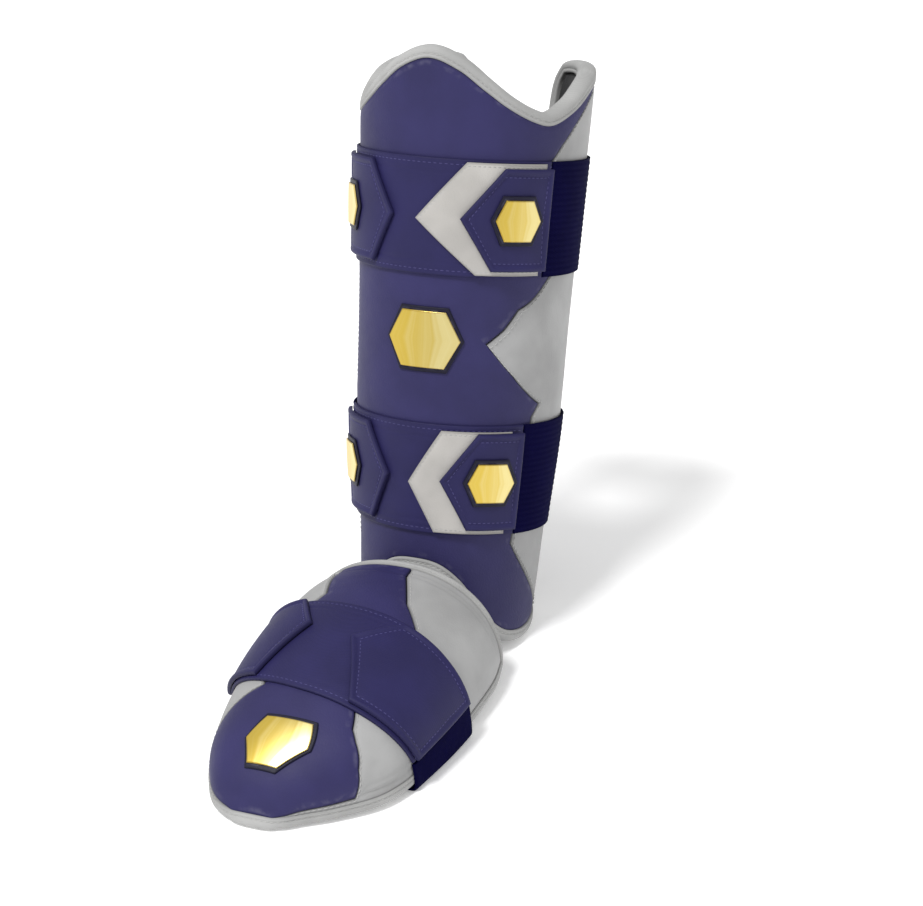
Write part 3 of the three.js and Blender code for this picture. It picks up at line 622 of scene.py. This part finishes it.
def swell(sides, u, v):
    inside = np.minimum.reduce(list(sides.values()))
    return 0.5 * (1 - np.exp(-inside / 6)) - 0.2


def shin_panel(name, start, end, width, finish):
    def place(u, climb, out):
        return up_shin(start(climb) + (end(climb) - start(climb)) * u, climb, out)
    us = stations(width, 2.4, 1.2)
    piece = panel(name, place, us, CLIMBS, -SHIN_SKIN, SHIN_SKIN, finish, 0.9, 0.6, swell)
    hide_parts(name.replace("_pad", ""))


shin_panel("shin_front_panel_pad", lambda c: -left_zigzag(c), zigzag, 170, NAVY_LEATHER)
shin_panel("shin_right_wing_pad", lambda c: zigzag(c) + SEAM, rear, 70, GREY_LEATHER)
shin_panel(
    "shin_left_wing_pad", lambda c: -rear(c), lambda c: -left_zigzag(c) - SEAM, 70,
    GREY_LEATHER,
)

line = line_of(900)
for side, name, seam in ((1, "right", zigzag), (-1, "left", left_zigzag)):
    stitches(
        f"shin_{name}_seam_stitches", lambda u, c, out: up_shin(side * (seam(c) + u), c, out),
        SEAM_STITCH + 0 * line, 0.012 + 0.976 * line, 0.2, GREY_THREAD,
    )
print("shin panels made")

# %% [markdown]
# ## The linings
# A brushed knit pad lies behind each shield. It shows at the top edge and from behind, where its soft face
# swells between the rims.

# %% Linings
def soft_inside(sides, u, v):
    inside = np.minimum.reduce(list(sides.values()))
    return -0.6 * np.exp(-inside / 5)


def shin_lining_place(u, climb, out):
    return up_shin((2 * u - 1) * (rear(climb) - 1.0), 0.004 + 0.992 * climb, out)


lining = panel(
    "shin_lining_pad", shin_lining_place, stations(330, 3.6, 1.5), stations(300, 3.4, 1.5),
    -SHIN_SKIN - SKIN_GAP, -SHIN_LINING, LINING_CLOTH, 1.6, 0.4, lambda *a: -soft_inside(*a),
)
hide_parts("shin_lining")


def foot_wall(back):
    return straight(FOOT_WALL, back)


def foot_lining_place(u, back, out):
    inside = 0.007 + 0.986 * back
    return on_foot((2 * u - 1) * 0.992, inside, out * foot_wall(inside))


foot_lining = panel(
    "foot_lining_pad", foot_lining_place, stations(210, 3.2, 1.5), stations(190, 3.2, 1.5),
    -FOOT_SKIN - SKIN_GAP, -FOOT_LINING, LINING_CLOTH, 1.6, 0.4, lambda *a: -soft_inside(*a),
)
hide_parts("foot_lining")
print("linings made")

# %% [markdown]
# ## The foot's panels
# The foot shield has a dark middle and two grey sides. Close to the rim the panels are sewn down twice, and
# the two sunk lines run round the whole shield just inside the tape.

# %% Foot panels
RIM_CHANNELS = [(5.2, 0.9, 0.75), (9.4, 1.0, 0.5)]


def foot_relief(rims):
    def relief(sides, u, v):
        rim = np.minimum.reduce([sides[name] for name in rims])
        inside = np.minimum.reduce(list(sides.values()))
        return sum(channel(rim, *row) for row in RIM_CHANNELS) + 0.4 * (1 - np.exp(-inside / 5)) - 0.1
    return relief


def foot_panel(name, start, end, width, rims, finish):
    def place(u, back, out):
        return on_foot(start(back) + (end(back) - start(back)) * u, back, out)

    def thin(u, back, out):
        return place(u, back, out * np.where(out < 0, foot_wall(back), 1))
    backs = stations(210, 1.7, 1.0, [row[0] for row in FOOT_SEAMS])
    piece = panel(name, thin, stations(width, 1.7, 1.0), backs, -FOOT_SKIN, FOOT_SKIN, finish, 0.9, 0.6,
                  foot_relief(rims))
    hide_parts(name.replace("_pad", ""))


def left_seam(back):
    return straight(FOOT_SEAMS, back, 1)


def right_seam(back):
    return straight(FOOT_SEAMS, back, 2)


FOOT_GAP, FOOT_STITCH = 0.005, 0.024
foot_panel("foot_center_panel_pad", left_seam, right_seam, 130, ("low", "high"), NAVY_LEATHER)
foot_panel("foot_right_side_pad", lambda b: right_seam(b) + FOOT_GAP, lambda b: 1 + 0 * b, 60,
           ("low", "high", "right"), GREY_LEATHER)
foot_panel("foot_left_side_pad", lambda b: -1 + 0 * b, lambda b: left_seam(b) - FOOT_GAP, 60,
           ("low", "high", "left"), GREY_LEATHER)
line = line_of(500)
for side, seam, name in ((1, right_seam, "right"), (-1, left_seam, "left")):
    stitches(
        f"foot_{name}_seam_stitches", lambda u, b, out: on_foot(seam(b) + side * u, b, out),
        FOOT_STITCH + 0 * line, 0.03 + 0.94 * line, 0.1, GREY_THREAD,
    )
print("foot panels made")

# %% [markdown]
# ## The taped rims
# A folded tape closes the edge of each shield. Its section is a flat tube as thick as the wall. The section
# is swept along the edge, and the direction that it points in is averaged over a few millimetres, so that it
# turns the corners in a round sweep. A sunk line along its inner side carries its stitches.

# %% Sweep a tape round an edge
def averaged(values, reach):
    offsets = np.arange(-3 * reach, 3 * reach + 1)
    weights = np.exp(-((offsets / reach) ** 2))
    total = sum(np.roll(values, -offset, axis=0) * weight for offset, weight in zip(offsets, weights))
    return total / np.linalg.norm(total, axis=1, keepdims=True)


def edge_frame(face, lifted, spacing):
    both = np.concatenate([face, lifted], 1)
    both = np.concatenate([both, both[:1]])
    far = np.concatenate([[0], np.cumsum(np.linalg.norm(np.diff(both[:, :3], axis=0), axis=1))])
    places = np.linspace(0, far[-1], int(far[-1] / spacing) + 1)[:-1]
    line = np.stack([np.interp(places, far, both[:, k]) for k in range(6)], -1)
    point, normal = line[:, :3], line[:, 3:] - line[:, :3]
    along = averaged(np.roll(point, -1, axis=0) - np.roll(point, 1, axis=0), 3)
    beyond = averaged(np.cross(along, normal), 4)
    normal = np.cross(beyond, along)
    return point, beyond, normal / np.linalg.norm(normal, axis=1, keepdims=True)


TAPE_LAP, TAPE_NOSE = 0.4, 3.4
GROOVE = {"near": 1.4, "middle": 2.1, "far": 2.8, "depth": 0.45}


def tape(name, node, face, lifted, wall, radius, finish):
    point, beyond, normal = edge_frame(face, lifted, 1.3)
    wall = wall(point)
    near, far = -TAPE_LAP, TAPE_WIDTH + TAPE_GAP
    top, bottom = TAPE_PROUD + 0 * wall, -wall - TAPE_PROUD
    middle, half = (top + bottom) / 2, (top - bottom) / 2
    section = [(near, 0.1 + 0 * wall), (near + 0.5, top), (GROOVE["near"], top),
               (GROOVE["middle"], top - GROOVE["depth"]), (GROOVE["far"], top)]
    for turn in np.radians(np.linspace(90, -90, 11)):
        section.append((far - TAPE_NOSE + TAPE_NOSE * np.cos(turn), middle + half * np.sin(turn)))
    section += [(GROOVE["far"], bottom), (GROOVE["middle"], bottom + GROOVE["depth"]),
                (GROOVE["near"], bottom), (near + 0.5, bottom), (near, -wall - 0.1)]
    rings = []
    for out, rise in section:
        curve = out**2 / (2 * radius(point, beyond))
        rings.append(point + beyond * out + normal * (rise - curve)[:, None])
    points = np.stack(rings, 1)
    count, corners = points.shape[:2]
    index = np.arange(count * corners).reshape(count, corners)
    ahead, around = np.roll(index, -1, axis=0), np.roll(index, -1, axis=1)
    both = np.roll(ahead, -1, axis=1)
    faces = np.stack([index, around, both, ahead], -1).reshape(-1, 4)
    rim = np.tile(np.minimum([abs(out - near) + 0.3 for out, _ in section], 9.0), count)
    piece = make_piece(name, points.reshape(-1, 3), faces, finish, {"edge": rim}, 60)
    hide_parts(node)
    return point, beyond, normal


def ring_line(u_low, u_high, corners=260):
    ahead = np.linspace(0, 1, corners)
    flat = [(ahead, 0 * ahead), (1 + 0 * ahead, ahead), (1 - ahead, 1 + 0 * ahead), (0 * ahead, 1 - ahead)]
    u = np.concatenate([row[0][:-1] for row in flat])
    v = np.concatenate([row[1][:-1] for row in flat])
    return u_low + (u_high - u_low) * u, v


# %% Tape round the shin
SHIN_WALL = SHIN_SKIN + SKIN_GAP + SHIN_LINING
share, climb = ring_line(-1, 1)
angle = share * rear(climb)
face, lifted = up_shin(angle, climb, 0 * angle), up_shin(angle, climb, 1 + 0 * angle)
SHIN_AXIS = turned(np.array([[0.0, 0.0, 1.0]]), -LEAN)[0]


def shin_radius(point, beyond):
    sideways = 1 - (beyond @ SHIN_AXIS) ** 2
    return CALF_WIDTH / 2 / np.maximum(sideways, 0.01) ** 2


edge, beyond, normal = tape(
    "shin_binding_tape", "shin_binding", face, lifted, lambda p: np.full(len(p), SHIN_WALL),
    shin_radius, TAPE_CLOTH,
)


def along_line(points, lift_to):
    def place(us, vs, out):
        position = us * (len(points) - 1)
        whole = np.arange(len(points))
        point = np.stack([np.interp(position, whole, points[:, k]) for k in range(3)], -1)
        lift = np.stack([np.interp(position, whole, lift_to[:, k]) for k in range(3)], -1)
        return point + lift * np.asarray(out)[..., None]
    return place


line = line_of(2400)
stitches("shin_binding_stitches", along_line(edge + beyond * GROOVE["middle"], normal), line, line,
         TAPE_PROUD - STITCH_SINK, GREY_THREAD)

# %% Tape round the foot
share, back = ring_line(-1, 1)
face = turned(foot_shape(share, back), FOOT_PITCH) + FOOT_SEAT
lifted = on_foot(share, back, 1 + 0 * share) - on_foot(share, back, 0 * share) + face


def foot_rim_wall(point):
    back = (point[:, 1] - FOOT_SEAT[1]) / FOOT_LENGTH
    return (FOOT_SKIN + FOOT_LINING) * foot_wall(back) + SKIN_GAP


edge, beyond, normal = tape(
    "foot_binding_tape", "foot_binding", face, lifted, foot_rim_wall,
    lambda p, b: np.full(len(p), 1e6), TAPE_CLOTH,
)
stitches("foot_binding_stitches", along_line(edge + beyond * GROOVE["middle"], normal), line, line,
         TAPE_PROUD - STITCH_SINK, GREY_THREAD)
print("tapes made")

# %% [markdown]
# ## The straps round the calf
# A strap is a coated band in front and elastic behind. Both hems of the band are sewn with two lines. The
# elastic has sunk ribs along its length.

# %% Bands and elastic
SPLICE, SPLICE_GAP = {"upper": 65, "lower": 61}, 0.3
HEM, SECOND_HEM = 3.2, 8.2
RIB_PITCH, RIB_DEPTH = 3.5, 0.16


def hems(sides, u, v):
    hem = np.minimum(sides["low"], sides["high"])
    return channel(hem, HEM, 0.5, 0.35) + channel(hem, SECOND_HEM, 0.5, 0.3)


def ribs(sides, u, v):
    return RIB_DEPTH * np.cos(2 * math.pi * sides["low"] / RIB_PITCH) - 0.1


def calf_band(level, start, end):
    def place(u, v, out):
        return on_shin(start + (end - start) * u, STRAP_BASE[level] + v * STRAP_WIDTH, out)
    return place


line = line_of()
for level in ("upper", "lower"):
    place = calf_band(level, -SPLICE[level], SPLICE[level])
    band = panel(
        f"{level}_front_band_cloth", place, stations(170, 2.2, 0.8), stations(STRAP_WIDTH, 1.2, 0.8),
        LAYER["band"], STRAP_THICKNESS, STRAP_CLOTH, 0.8, 0.4, hems,
    )
    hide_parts(f"{level}_front_band")
    around = calf_band(level, SPLICE[level] + SPLICE_GAP, 360 - SPLICE[level] - SPLICE_GAP)
    elastic = panel(
        f"{level}_elastic_cloth", around, stations(290, 2.8, 0.8), stations(STRAP_WIDTH, 0.6, 0.8),
        LAYER["elastic"], STRAP_THICKNESS - 0.2, ELASTIC_CLOTH, 0.8, 0.4, ribs,
    )
    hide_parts(f"{level}_elastic_strap")
    for row, height in (("low", HEM), ("high", STRAP_WIDTH - HEM)):
        stitches(
            f"{level}_band_{row}_stitches", place, 0.004 + 0.992 * line, height / STRAP_WIDTH + 0 * line,
            BAND_TOP - STITCH_SINK, NAVY_THREAD,
        )
print("straps made")

# %% [markdown]
# ## Patches, tabs and badges
# A grey pointed patch is sewn on the band at one side. A stiff pointed tab covers the end of the elastic on
# each side. Its rim is a raised roll and its field lies lower. On each tab, on the shin and on the toe sits a
# plain six-sided badge: a gold film on a dark outline.

# %% A piece cut to a pointed outline
PATCH_SIZE, TAB_SIZE, FOOT_TAB_SIZE = (70, 66), (52, 61), (72, 70)
PATCH_STITCH, TAB_STITCH = 2.2, 5.0
ROLL_WIDTH, ROLL_SLOPE, ROLL_DEPTH, STITCH_CHANNEL = 2.6, 1.6, 0.95, 0.2


def pointed(rows, side, spot):
    low, high = rows[0][0], rows[-1][0]

    def place(u, v, out):
        up = low + (high - low) * v
        start = straight(rows, up, 1)
        return spot(side * (start + (straight(rows, up, 2) - start) * u), up, out)
    point_row = (rows[1][0] - low) / (high - low)
    return place, point_row


def rolled_rim(sides, u, v):
    inside = np.minimum.reduce(list(sides.values()))
    step = np.clip((inside - ROLL_WIDTH) / ROLL_SLOPE, 0, 1)
    return -ROLL_DEPTH * step * step * (3 - 2 * step) + channel(inside, TAB_STITCH, 0.45, STITCH_CHANNEL)


def flat_hem(sides, u, v):
    inside = np.minimum.reduce(list(sides.values()))
    return channel(inside, PATCH_STITCH, 0.45, STITCH_CHANNEL)


def add_pointed(name, rows, side, spot, base, wall, finish, size, relief, lip):
    place, point_row = pointed(rows, side, spot)
    us, vs = stations(size[0], 1.15, lip), stations(size[1], 1.15, lip, [point_row])
    piece = panel(f"{name}_cut", place, us, vs, base, wall, finish, lip, 0.35, relief)
    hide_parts(name)
    return place


def outline_stitches(name, place, inset, size, out, finish):
    du, dv = inset / size[0], inset / size[1]
    u, v = ring_line(0, 1, 160)
    us, vs = du + (1 - 2 * du) * u, dv + (1 - 2 * dv) * v
    stitches(name, place, us, vs, out, finish, pitch=3.0, length=2.2)


# %% A badge: gold film on a dark outline
BADGE_BORDER = 2.6
OUTLINE_THICKNESS, FILM_BASE, FILM_THICKNESS = 0.9, 1.3, 0.7
BADGE_BASE = 0.7


def add_badge(name, plane, width, height, base):
    for part, border, out, wall, finish, slot in (
        ("outline", 0, base, OUTLINE_THICKNESS, OUTLINE_LEATHER, "emblem_outline"),
        ("emblem", BADGE_BORDER, base + FILM_BASE, FILM_THICKNESS, GOLD_FILM, "gold_badge"),
    ):
        w, h = width - 2 * border, height - 2 * border

        def place(u, v, lift, w=w, h=h):
            return plane((2 * u - 1) * w / 2 * straight(BADGE_ROWS, v), (v - 0.5) * h, lift)
        piece = panel(
            f"{name}_{part}_film", place, stations(w, 1.0, 0.6), stations(h, 1.0, 0.6, [0.5]), out, wall,
            finish, 0.6, 0.3,
        )
        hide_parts(f"{name}_{part}")


def shin_plane(angle, height):
    radius = np.hypot(*shin_face(np.float64(angle), np.float64(height), 0.0)[:2])
    return lambda x, y, out: on_shin(angle + np.degrees(x / radius), height + y, out)


TAB_BADGE = {"upper": 46, "lower": 41.5, "left": -52, "width": 32, "height": 30}
for level in ("upper", "lower"):
    def spot(angle, up, out, level=level):
        return on_shin(angle, STRAP_BASE[level] + up * STRAP_WIDTH, out)
    middle = STRAP_BASE[level] + STRAP_WIDTH / 2
    place = add_pointed(
        f"{level}_right_patch", PATCH_ROWS[level], 1, spot, LAYER["patch"], PATCH_THICKNESS,
        PATCH_LEATHER, PATCH_SIZE, flat_hem, 0.5,
    )
    outline_stitches(
        f"{level}_right_patch_stitches", place, PATCH_STITCH, PATCH_SIZE,
        LAYER["patch"] + PATCH_THICKNESS - 0.25, GREY_THREAD,
    )
    for side, name, base in ((1, "right", LAYER["tab"]), (-1, "left", LAYER["patch"])):
        key = level if side > 0 else "left"
        place = add_pointed(
            f"{level}_{name}_tab", TAB_ROWS[key], side, spot, base, TAB_THICKNESS,
            STRAP_CLOTH, TAB_SIZE, rolled_rim, 1.4,
        )
        outline_stitches(
            f"{level}_{name}_tab_stitches", place, TAB_STITCH, TAB_SIZE,
            base + TAB_THICKNESS - ROLL_DEPTH - STITCH_CHANNEL, NAVY_THREAD,
        )
        add_badge(
            f"{level}_{name}_tab", shin_plane(TAB_BADGE[key], middle),
            TAB_BADGE["width"], TAB_BADGE["height"], base + TAB_THICKNESS - 0.3,
        )
print("tabs made")

# %% Badge on the shin
SHIN_BADGE = {"angle": 3, "raised": 6, "width": 54, "height": 40}
BETWEEN = (sum(STRAP_BASE.values()) + STRAP_WIDTH) / 2 + SHIN_BADGE["raised"]
plane = shin_plane(SHIN_BADGE["angle"], BETWEEN)
add_badge("shin", plane, SHIN_BADGE["width"], SHIN_BADGE["height"], BADGE_BASE)

# %% [markdown]
# ## The foot's band, tabs and strap
# The band over the instep has hems like the calf bands. Its tabs are pointed too. At each side a strap leaves
# it, turns down past the rim and runs flat under the sole, where the guard stands on it.

# %% Band and tabs on the foot
def foot_band_place(u, v, out):
    across = BAND_END * (2 * u - 1)
    return on_foot(across, band_back(v, across), out)


band = panel(
    "foot_band_cloth", foot_band_place, stations(200, 1.8, 0.8), stations(BAND_WIDTH, 1.2, 0.8),
    LAYER["band"], STRAP_THICKNESS, STRAP_CLOTH, 0.8, 0.4, hems,
)
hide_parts("foot_band")
line = line_of()
for row, up in (("front", HEM / BAND_WIDTH), ("rear", 1 - HEM / BAND_WIDTH)):
    stitches(f"foot_band_{row}_stitches", foot_band_place, 0.01 + 0.98 * line, up + 0 * line,
             BAND_TOP - STITCH_SINK, NAVY_THREAD)


def foot_spot(across, up, out):
    return on_foot(across, band_back(up, across), out)


for side, name in ((1, "right"), (-1, "left")):
    place = add_pointed(
        f"foot_{name}_tab", FOOT_TAB_ROWS[name], side, foot_spot, LAYER["patch"], TAB_THICKNESS,
        STRAP_CLOTH, FOOT_TAB_SIZE, rolled_rim, 1.4,
    )
    outline_stitches(
        f"foot_{name}_tab_stitches", place, TAB_STITCH, FOOT_TAB_SIZE,
        LAYER["patch"] + TAB_THICKNESS - ROLL_DEPTH - STITCH_CHANNEL, NAVY_THREAD,
    )

# %% Strap under the sole
SOLE_DROP = [(0.0, 9.0), (0.0, 2.2), (-2.0, 0.0)]


def strap_side(side, back):
    """One side of the strap's outer line, from the band down to the sole, in the frame's millimetres."""
    rim, out = foot_rim(side, back), BAND_TOP
    top = on_foot(np.array(side * (BAND_END + 0.006)), np.array(back), np.array(out))
    middle, edge = FOOT_SEAT[0], rim + side * (out + 0.4)
    drop = [(middle + edge + side * step, top[1], z) for step, z in SOLE_DROP]
    return [tuple(top), *drop, (middle + rim * 0.6, top[1], 0.0)]


def strap_path(right_back, left_back):
    line = resampled(np.array(strap_side(1, right_back) + strap_side(-1, left_back)[::-1]), 0.9)
    before, after = np.repeat(line[:1], PATH_REACH, 0), np.repeat(line[-1:], PATH_REACH, 0)
    padded = np.concatenate([before, line, after])
    weights = np.exp(-((np.arange(-PATH_REACH, PATH_REACH + 1) / PATH_SPREAD) ** 2))
    return np.stack([np.convolve(padded[:, k], weights / weights.sum(), "valid") for k in range(3)], -1)


PATH_COUNT = 320
PATH_REACH, PATH_SPREAD = 6, 2.4


def strap_place(u, v, out):
    rows = []
    for up in v[:, 0]:
        line = strap_path(float(band_back(up, BAND_END)), float(band_back(up, -BAND_END)))
        place = np.linspace(0, len(line) - 1, PATH_COUNT)
        rows.append(np.stack([np.interp(place, np.arange(len(line)), line[:, k]) for k in range(3)], -1))
    rows = np.stack(rows)
    along = np.gradient(rows, axis=1)
    normal = np.stack([along[..., 2], 0 * along[..., 0], -along[..., 0]], -1)
    normal /= np.linalg.norm(normal, axis=-1, keepdims=True)
    return rows + normal * np.asarray(out)[..., None]


strap = panel(
    "foot_strap_elastic", strap_place, np.linspace(0, 1, PATH_COUNT), stations(BAND_WIDTH, 1.4, 0.8),
    STRAP_THICKNESS, -STRAP_THICKNESS, ELASTIC_CLOTH, 0.8, 0.4,
)
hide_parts("foot_strap")
print("strap made")

# %% Badge on the toe
TOE_BADGE = {"across": 0.0, "back": 0.15, "width": 54, "height": 36}


def toe_plane(x, y, out):
    step = 0.02
    across, back = np.array([TOE_BADGE["across"]]), np.array([TOE_BADGE["back"]])
    wide = np.linalg.norm(foot_shape(across + step, back) - foot_shape(across - step, back)) / (2 * step)
    long = np.linalg.norm(foot_shape(across, back + step) - foot_shape(across, back - step)) / (2 * step)
    return on_foot(TOE_BADGE["across"] + x / wide, TOE_BADGE["back"] + y / long, out)


add_badge("toe", toe_plane, TOE_BADGE["width"], TOE_BADGE["height"], BADGE_BASE)
print("foot made")

# %% [markdown]
# ## The ankle hinge
# One plain strip of cloth joins the shields inside the ankle. It runs from the inside of the shin's arch to
# the inside of the foot's rear edge, in three straight lengths like the CAD strip.

# %% Ankle hinge
HINGE_ANGLE, HINGE_ACROSS, HINGE_THICKNESS, HINGE_OVERLAP = 18, 0.13, 1.5, 14
HINGE_CLEARANCE, HINGE_END_CLEARANCE = 2.4, 0.8


def hinge_place(u, v, out):
    share = 2 * u - 1
    edge = TAPE_WIDTH + TAPE_GAP + HINGE_CLEARANCE
    angle = share * HINGE_ANGLE
    low = SHIN_HEIGHT * smooth(BOTTOM_EDGE, np.abs(angle))
    foot_depth = FOOT_SKIN + SKIN_GAP + FOOT_LINING
    across = share * HINGE_ACROSS
    past_rim = 1 + edge / FOOT_LENGTH + 0 * share
    within = 1 - HINGE_OVERLAP / FOOT_LENGTH + 0 * share
    ends = [
        on_shin(angle, low + HINGE_OVERLAP, -SHIN_WALL - HINGE_END_CLEARANCE - out),
        on_shin(angle, low - edge, -SHIN_WALL - HINGE_CLEARANCE - out),
        on_foot(across, past_rim, -foot_depth - HINGE_CLEARANCE - out),
        on_foot(across, within, -foot_depth - HINGE_END_CLEARANCE - out),
    ]
    place = v * 3
    weights = [np.clip(1 - np.abs(place - k), 0, 1)[..., None] for k in range(4)]
    return sum(point * weight for point, weight in zip(ends, weights))


hinge = panel(
    "ankle_hinge_cloth", hinge_place, stations(44, 1.4, 0.7), stations(50, 1.0, 0.7, [1 / 3, 2 / 3]),
    0.0, HINGE_THICKNESS, LINING_CLOTH, 0.7, 0.4,
)
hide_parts("ankle_hinge")
print("hinge made")

# %% [markdown]
# ## Floor, light and camera
# The guard stands on a plain white floor, which glows a little so that the shadow stays pale. One soft sun
# high at the front left casts it, behind the guard to the right, and a white surround fills the rest. The
# camera looks down on the toe from the front right and is rolled a little.

# %% Floor
floor_mesh = bpy.data.meshes.new("floor")
REACH = 6.0
floor_mesh.from_pydata([(-REACH, -REACH, 0), (REACH, -REACH, 0), (REACH, REACH, 0), (-REACH, REACH, 0)], [],
                       [(0, 1, 2, 3)])
floor = bpy.data.objects.new("floor", floor_mesh)
bpy.context.scene.collection.objects.link(floor)
floor_paint = start_finish("floor_paint")[0]
floor_shader = floor_paint.node_tree.nodes["Principled BSDF"]
floor_shader.inputs["Base Color"].default_value = (0.95, 0.95, 0.95, 1)
floor_shader.inputs["Roughness"].default_value = 0.9
floor_shader.inputs["Emission Color"].default_value = (1, 1, 1, 1)
floor_shader.inputs["Emission Strength"].default_value = 0.22
floor_mesh.materials.append(floor_paint)

# %% Sun and surround
world = bpy.data.worlds.new("studio")
world.use_nodes = True
world.node_tree.nodes["Background"].inputs["Color"].default_value = (1, 1, 1, 1)
world.node_tree.nodes["Background"].inputs["Strength"].default_value = 0.62
bpy.context.scene.world = world
bpy.context.scene.view_settings.view_transform = "Standard"


def sun(name, towards, strength, spread):
    data = bpy.data.lights.new(name, "SUN")
    data.energy = strength
    data.angle = math.radians(spread)
    made = bpy.data.objects.new(name, data)
    bpy.context.scene.collection.objects.link(made)
    x, y, z = towards
    made.rotation_euler = (math.atan2(math.hypot(x, y), -z), 0, math.atan2(-x, y))


sun("key", (0.35, 0.9, -1.9), 2.4, 15)

# %% Camera
TARGET = (-0.0017, 0.0946, 0.0991)
DISTANCE, AZIMUTH, ELEVATION, ROLL = 1.55, 24.12, 25.66, 2.96
FRAME_WIDTH, FOCAL_PIXELS = 923, 2403
data = bpy.data.cameras.new("camera")
data.sensor_fit = "HORIZONTAL"
data.sensor_width = 36
data.lens = FOCAL_PIXELS / FRAME_WIDTH * data.sensor_width
camera = bpy.data.objects.new("camera", data)
bpy.context.scene.collection.objects.link(camera)
azimuth, elevation = math.radians(AZIMUTH), math.radians(ELEVATION)
back = np.array([math.sin(azimuth) * math.cos(elevation), -math.cos(azimuth) * math.cos(elevation),
                 math.sin(elevation)])
right = np.array([math.cos(azimuth), math.sin(azimuth), 0])
up = np.cross(back, right)
roll = math.radians(ROLL)
rolled_right = right * math.cos(roll) - up * math.sin(roll)
rolled_up = np.cross(back, rolled_right)
place = np.array(TARGET) + back * DISTANCE
matrix = np.eye(4)
matrix[:3, 0], matrix[:3, 1], matrix[:3, 2], matrix[:3, 3] = rolled_right, rolled_up, back, place
camera.matrix_world = Matrix(matrix.tolist())
bpy.context.scene.camera = camera
print("camera at", place.round(3))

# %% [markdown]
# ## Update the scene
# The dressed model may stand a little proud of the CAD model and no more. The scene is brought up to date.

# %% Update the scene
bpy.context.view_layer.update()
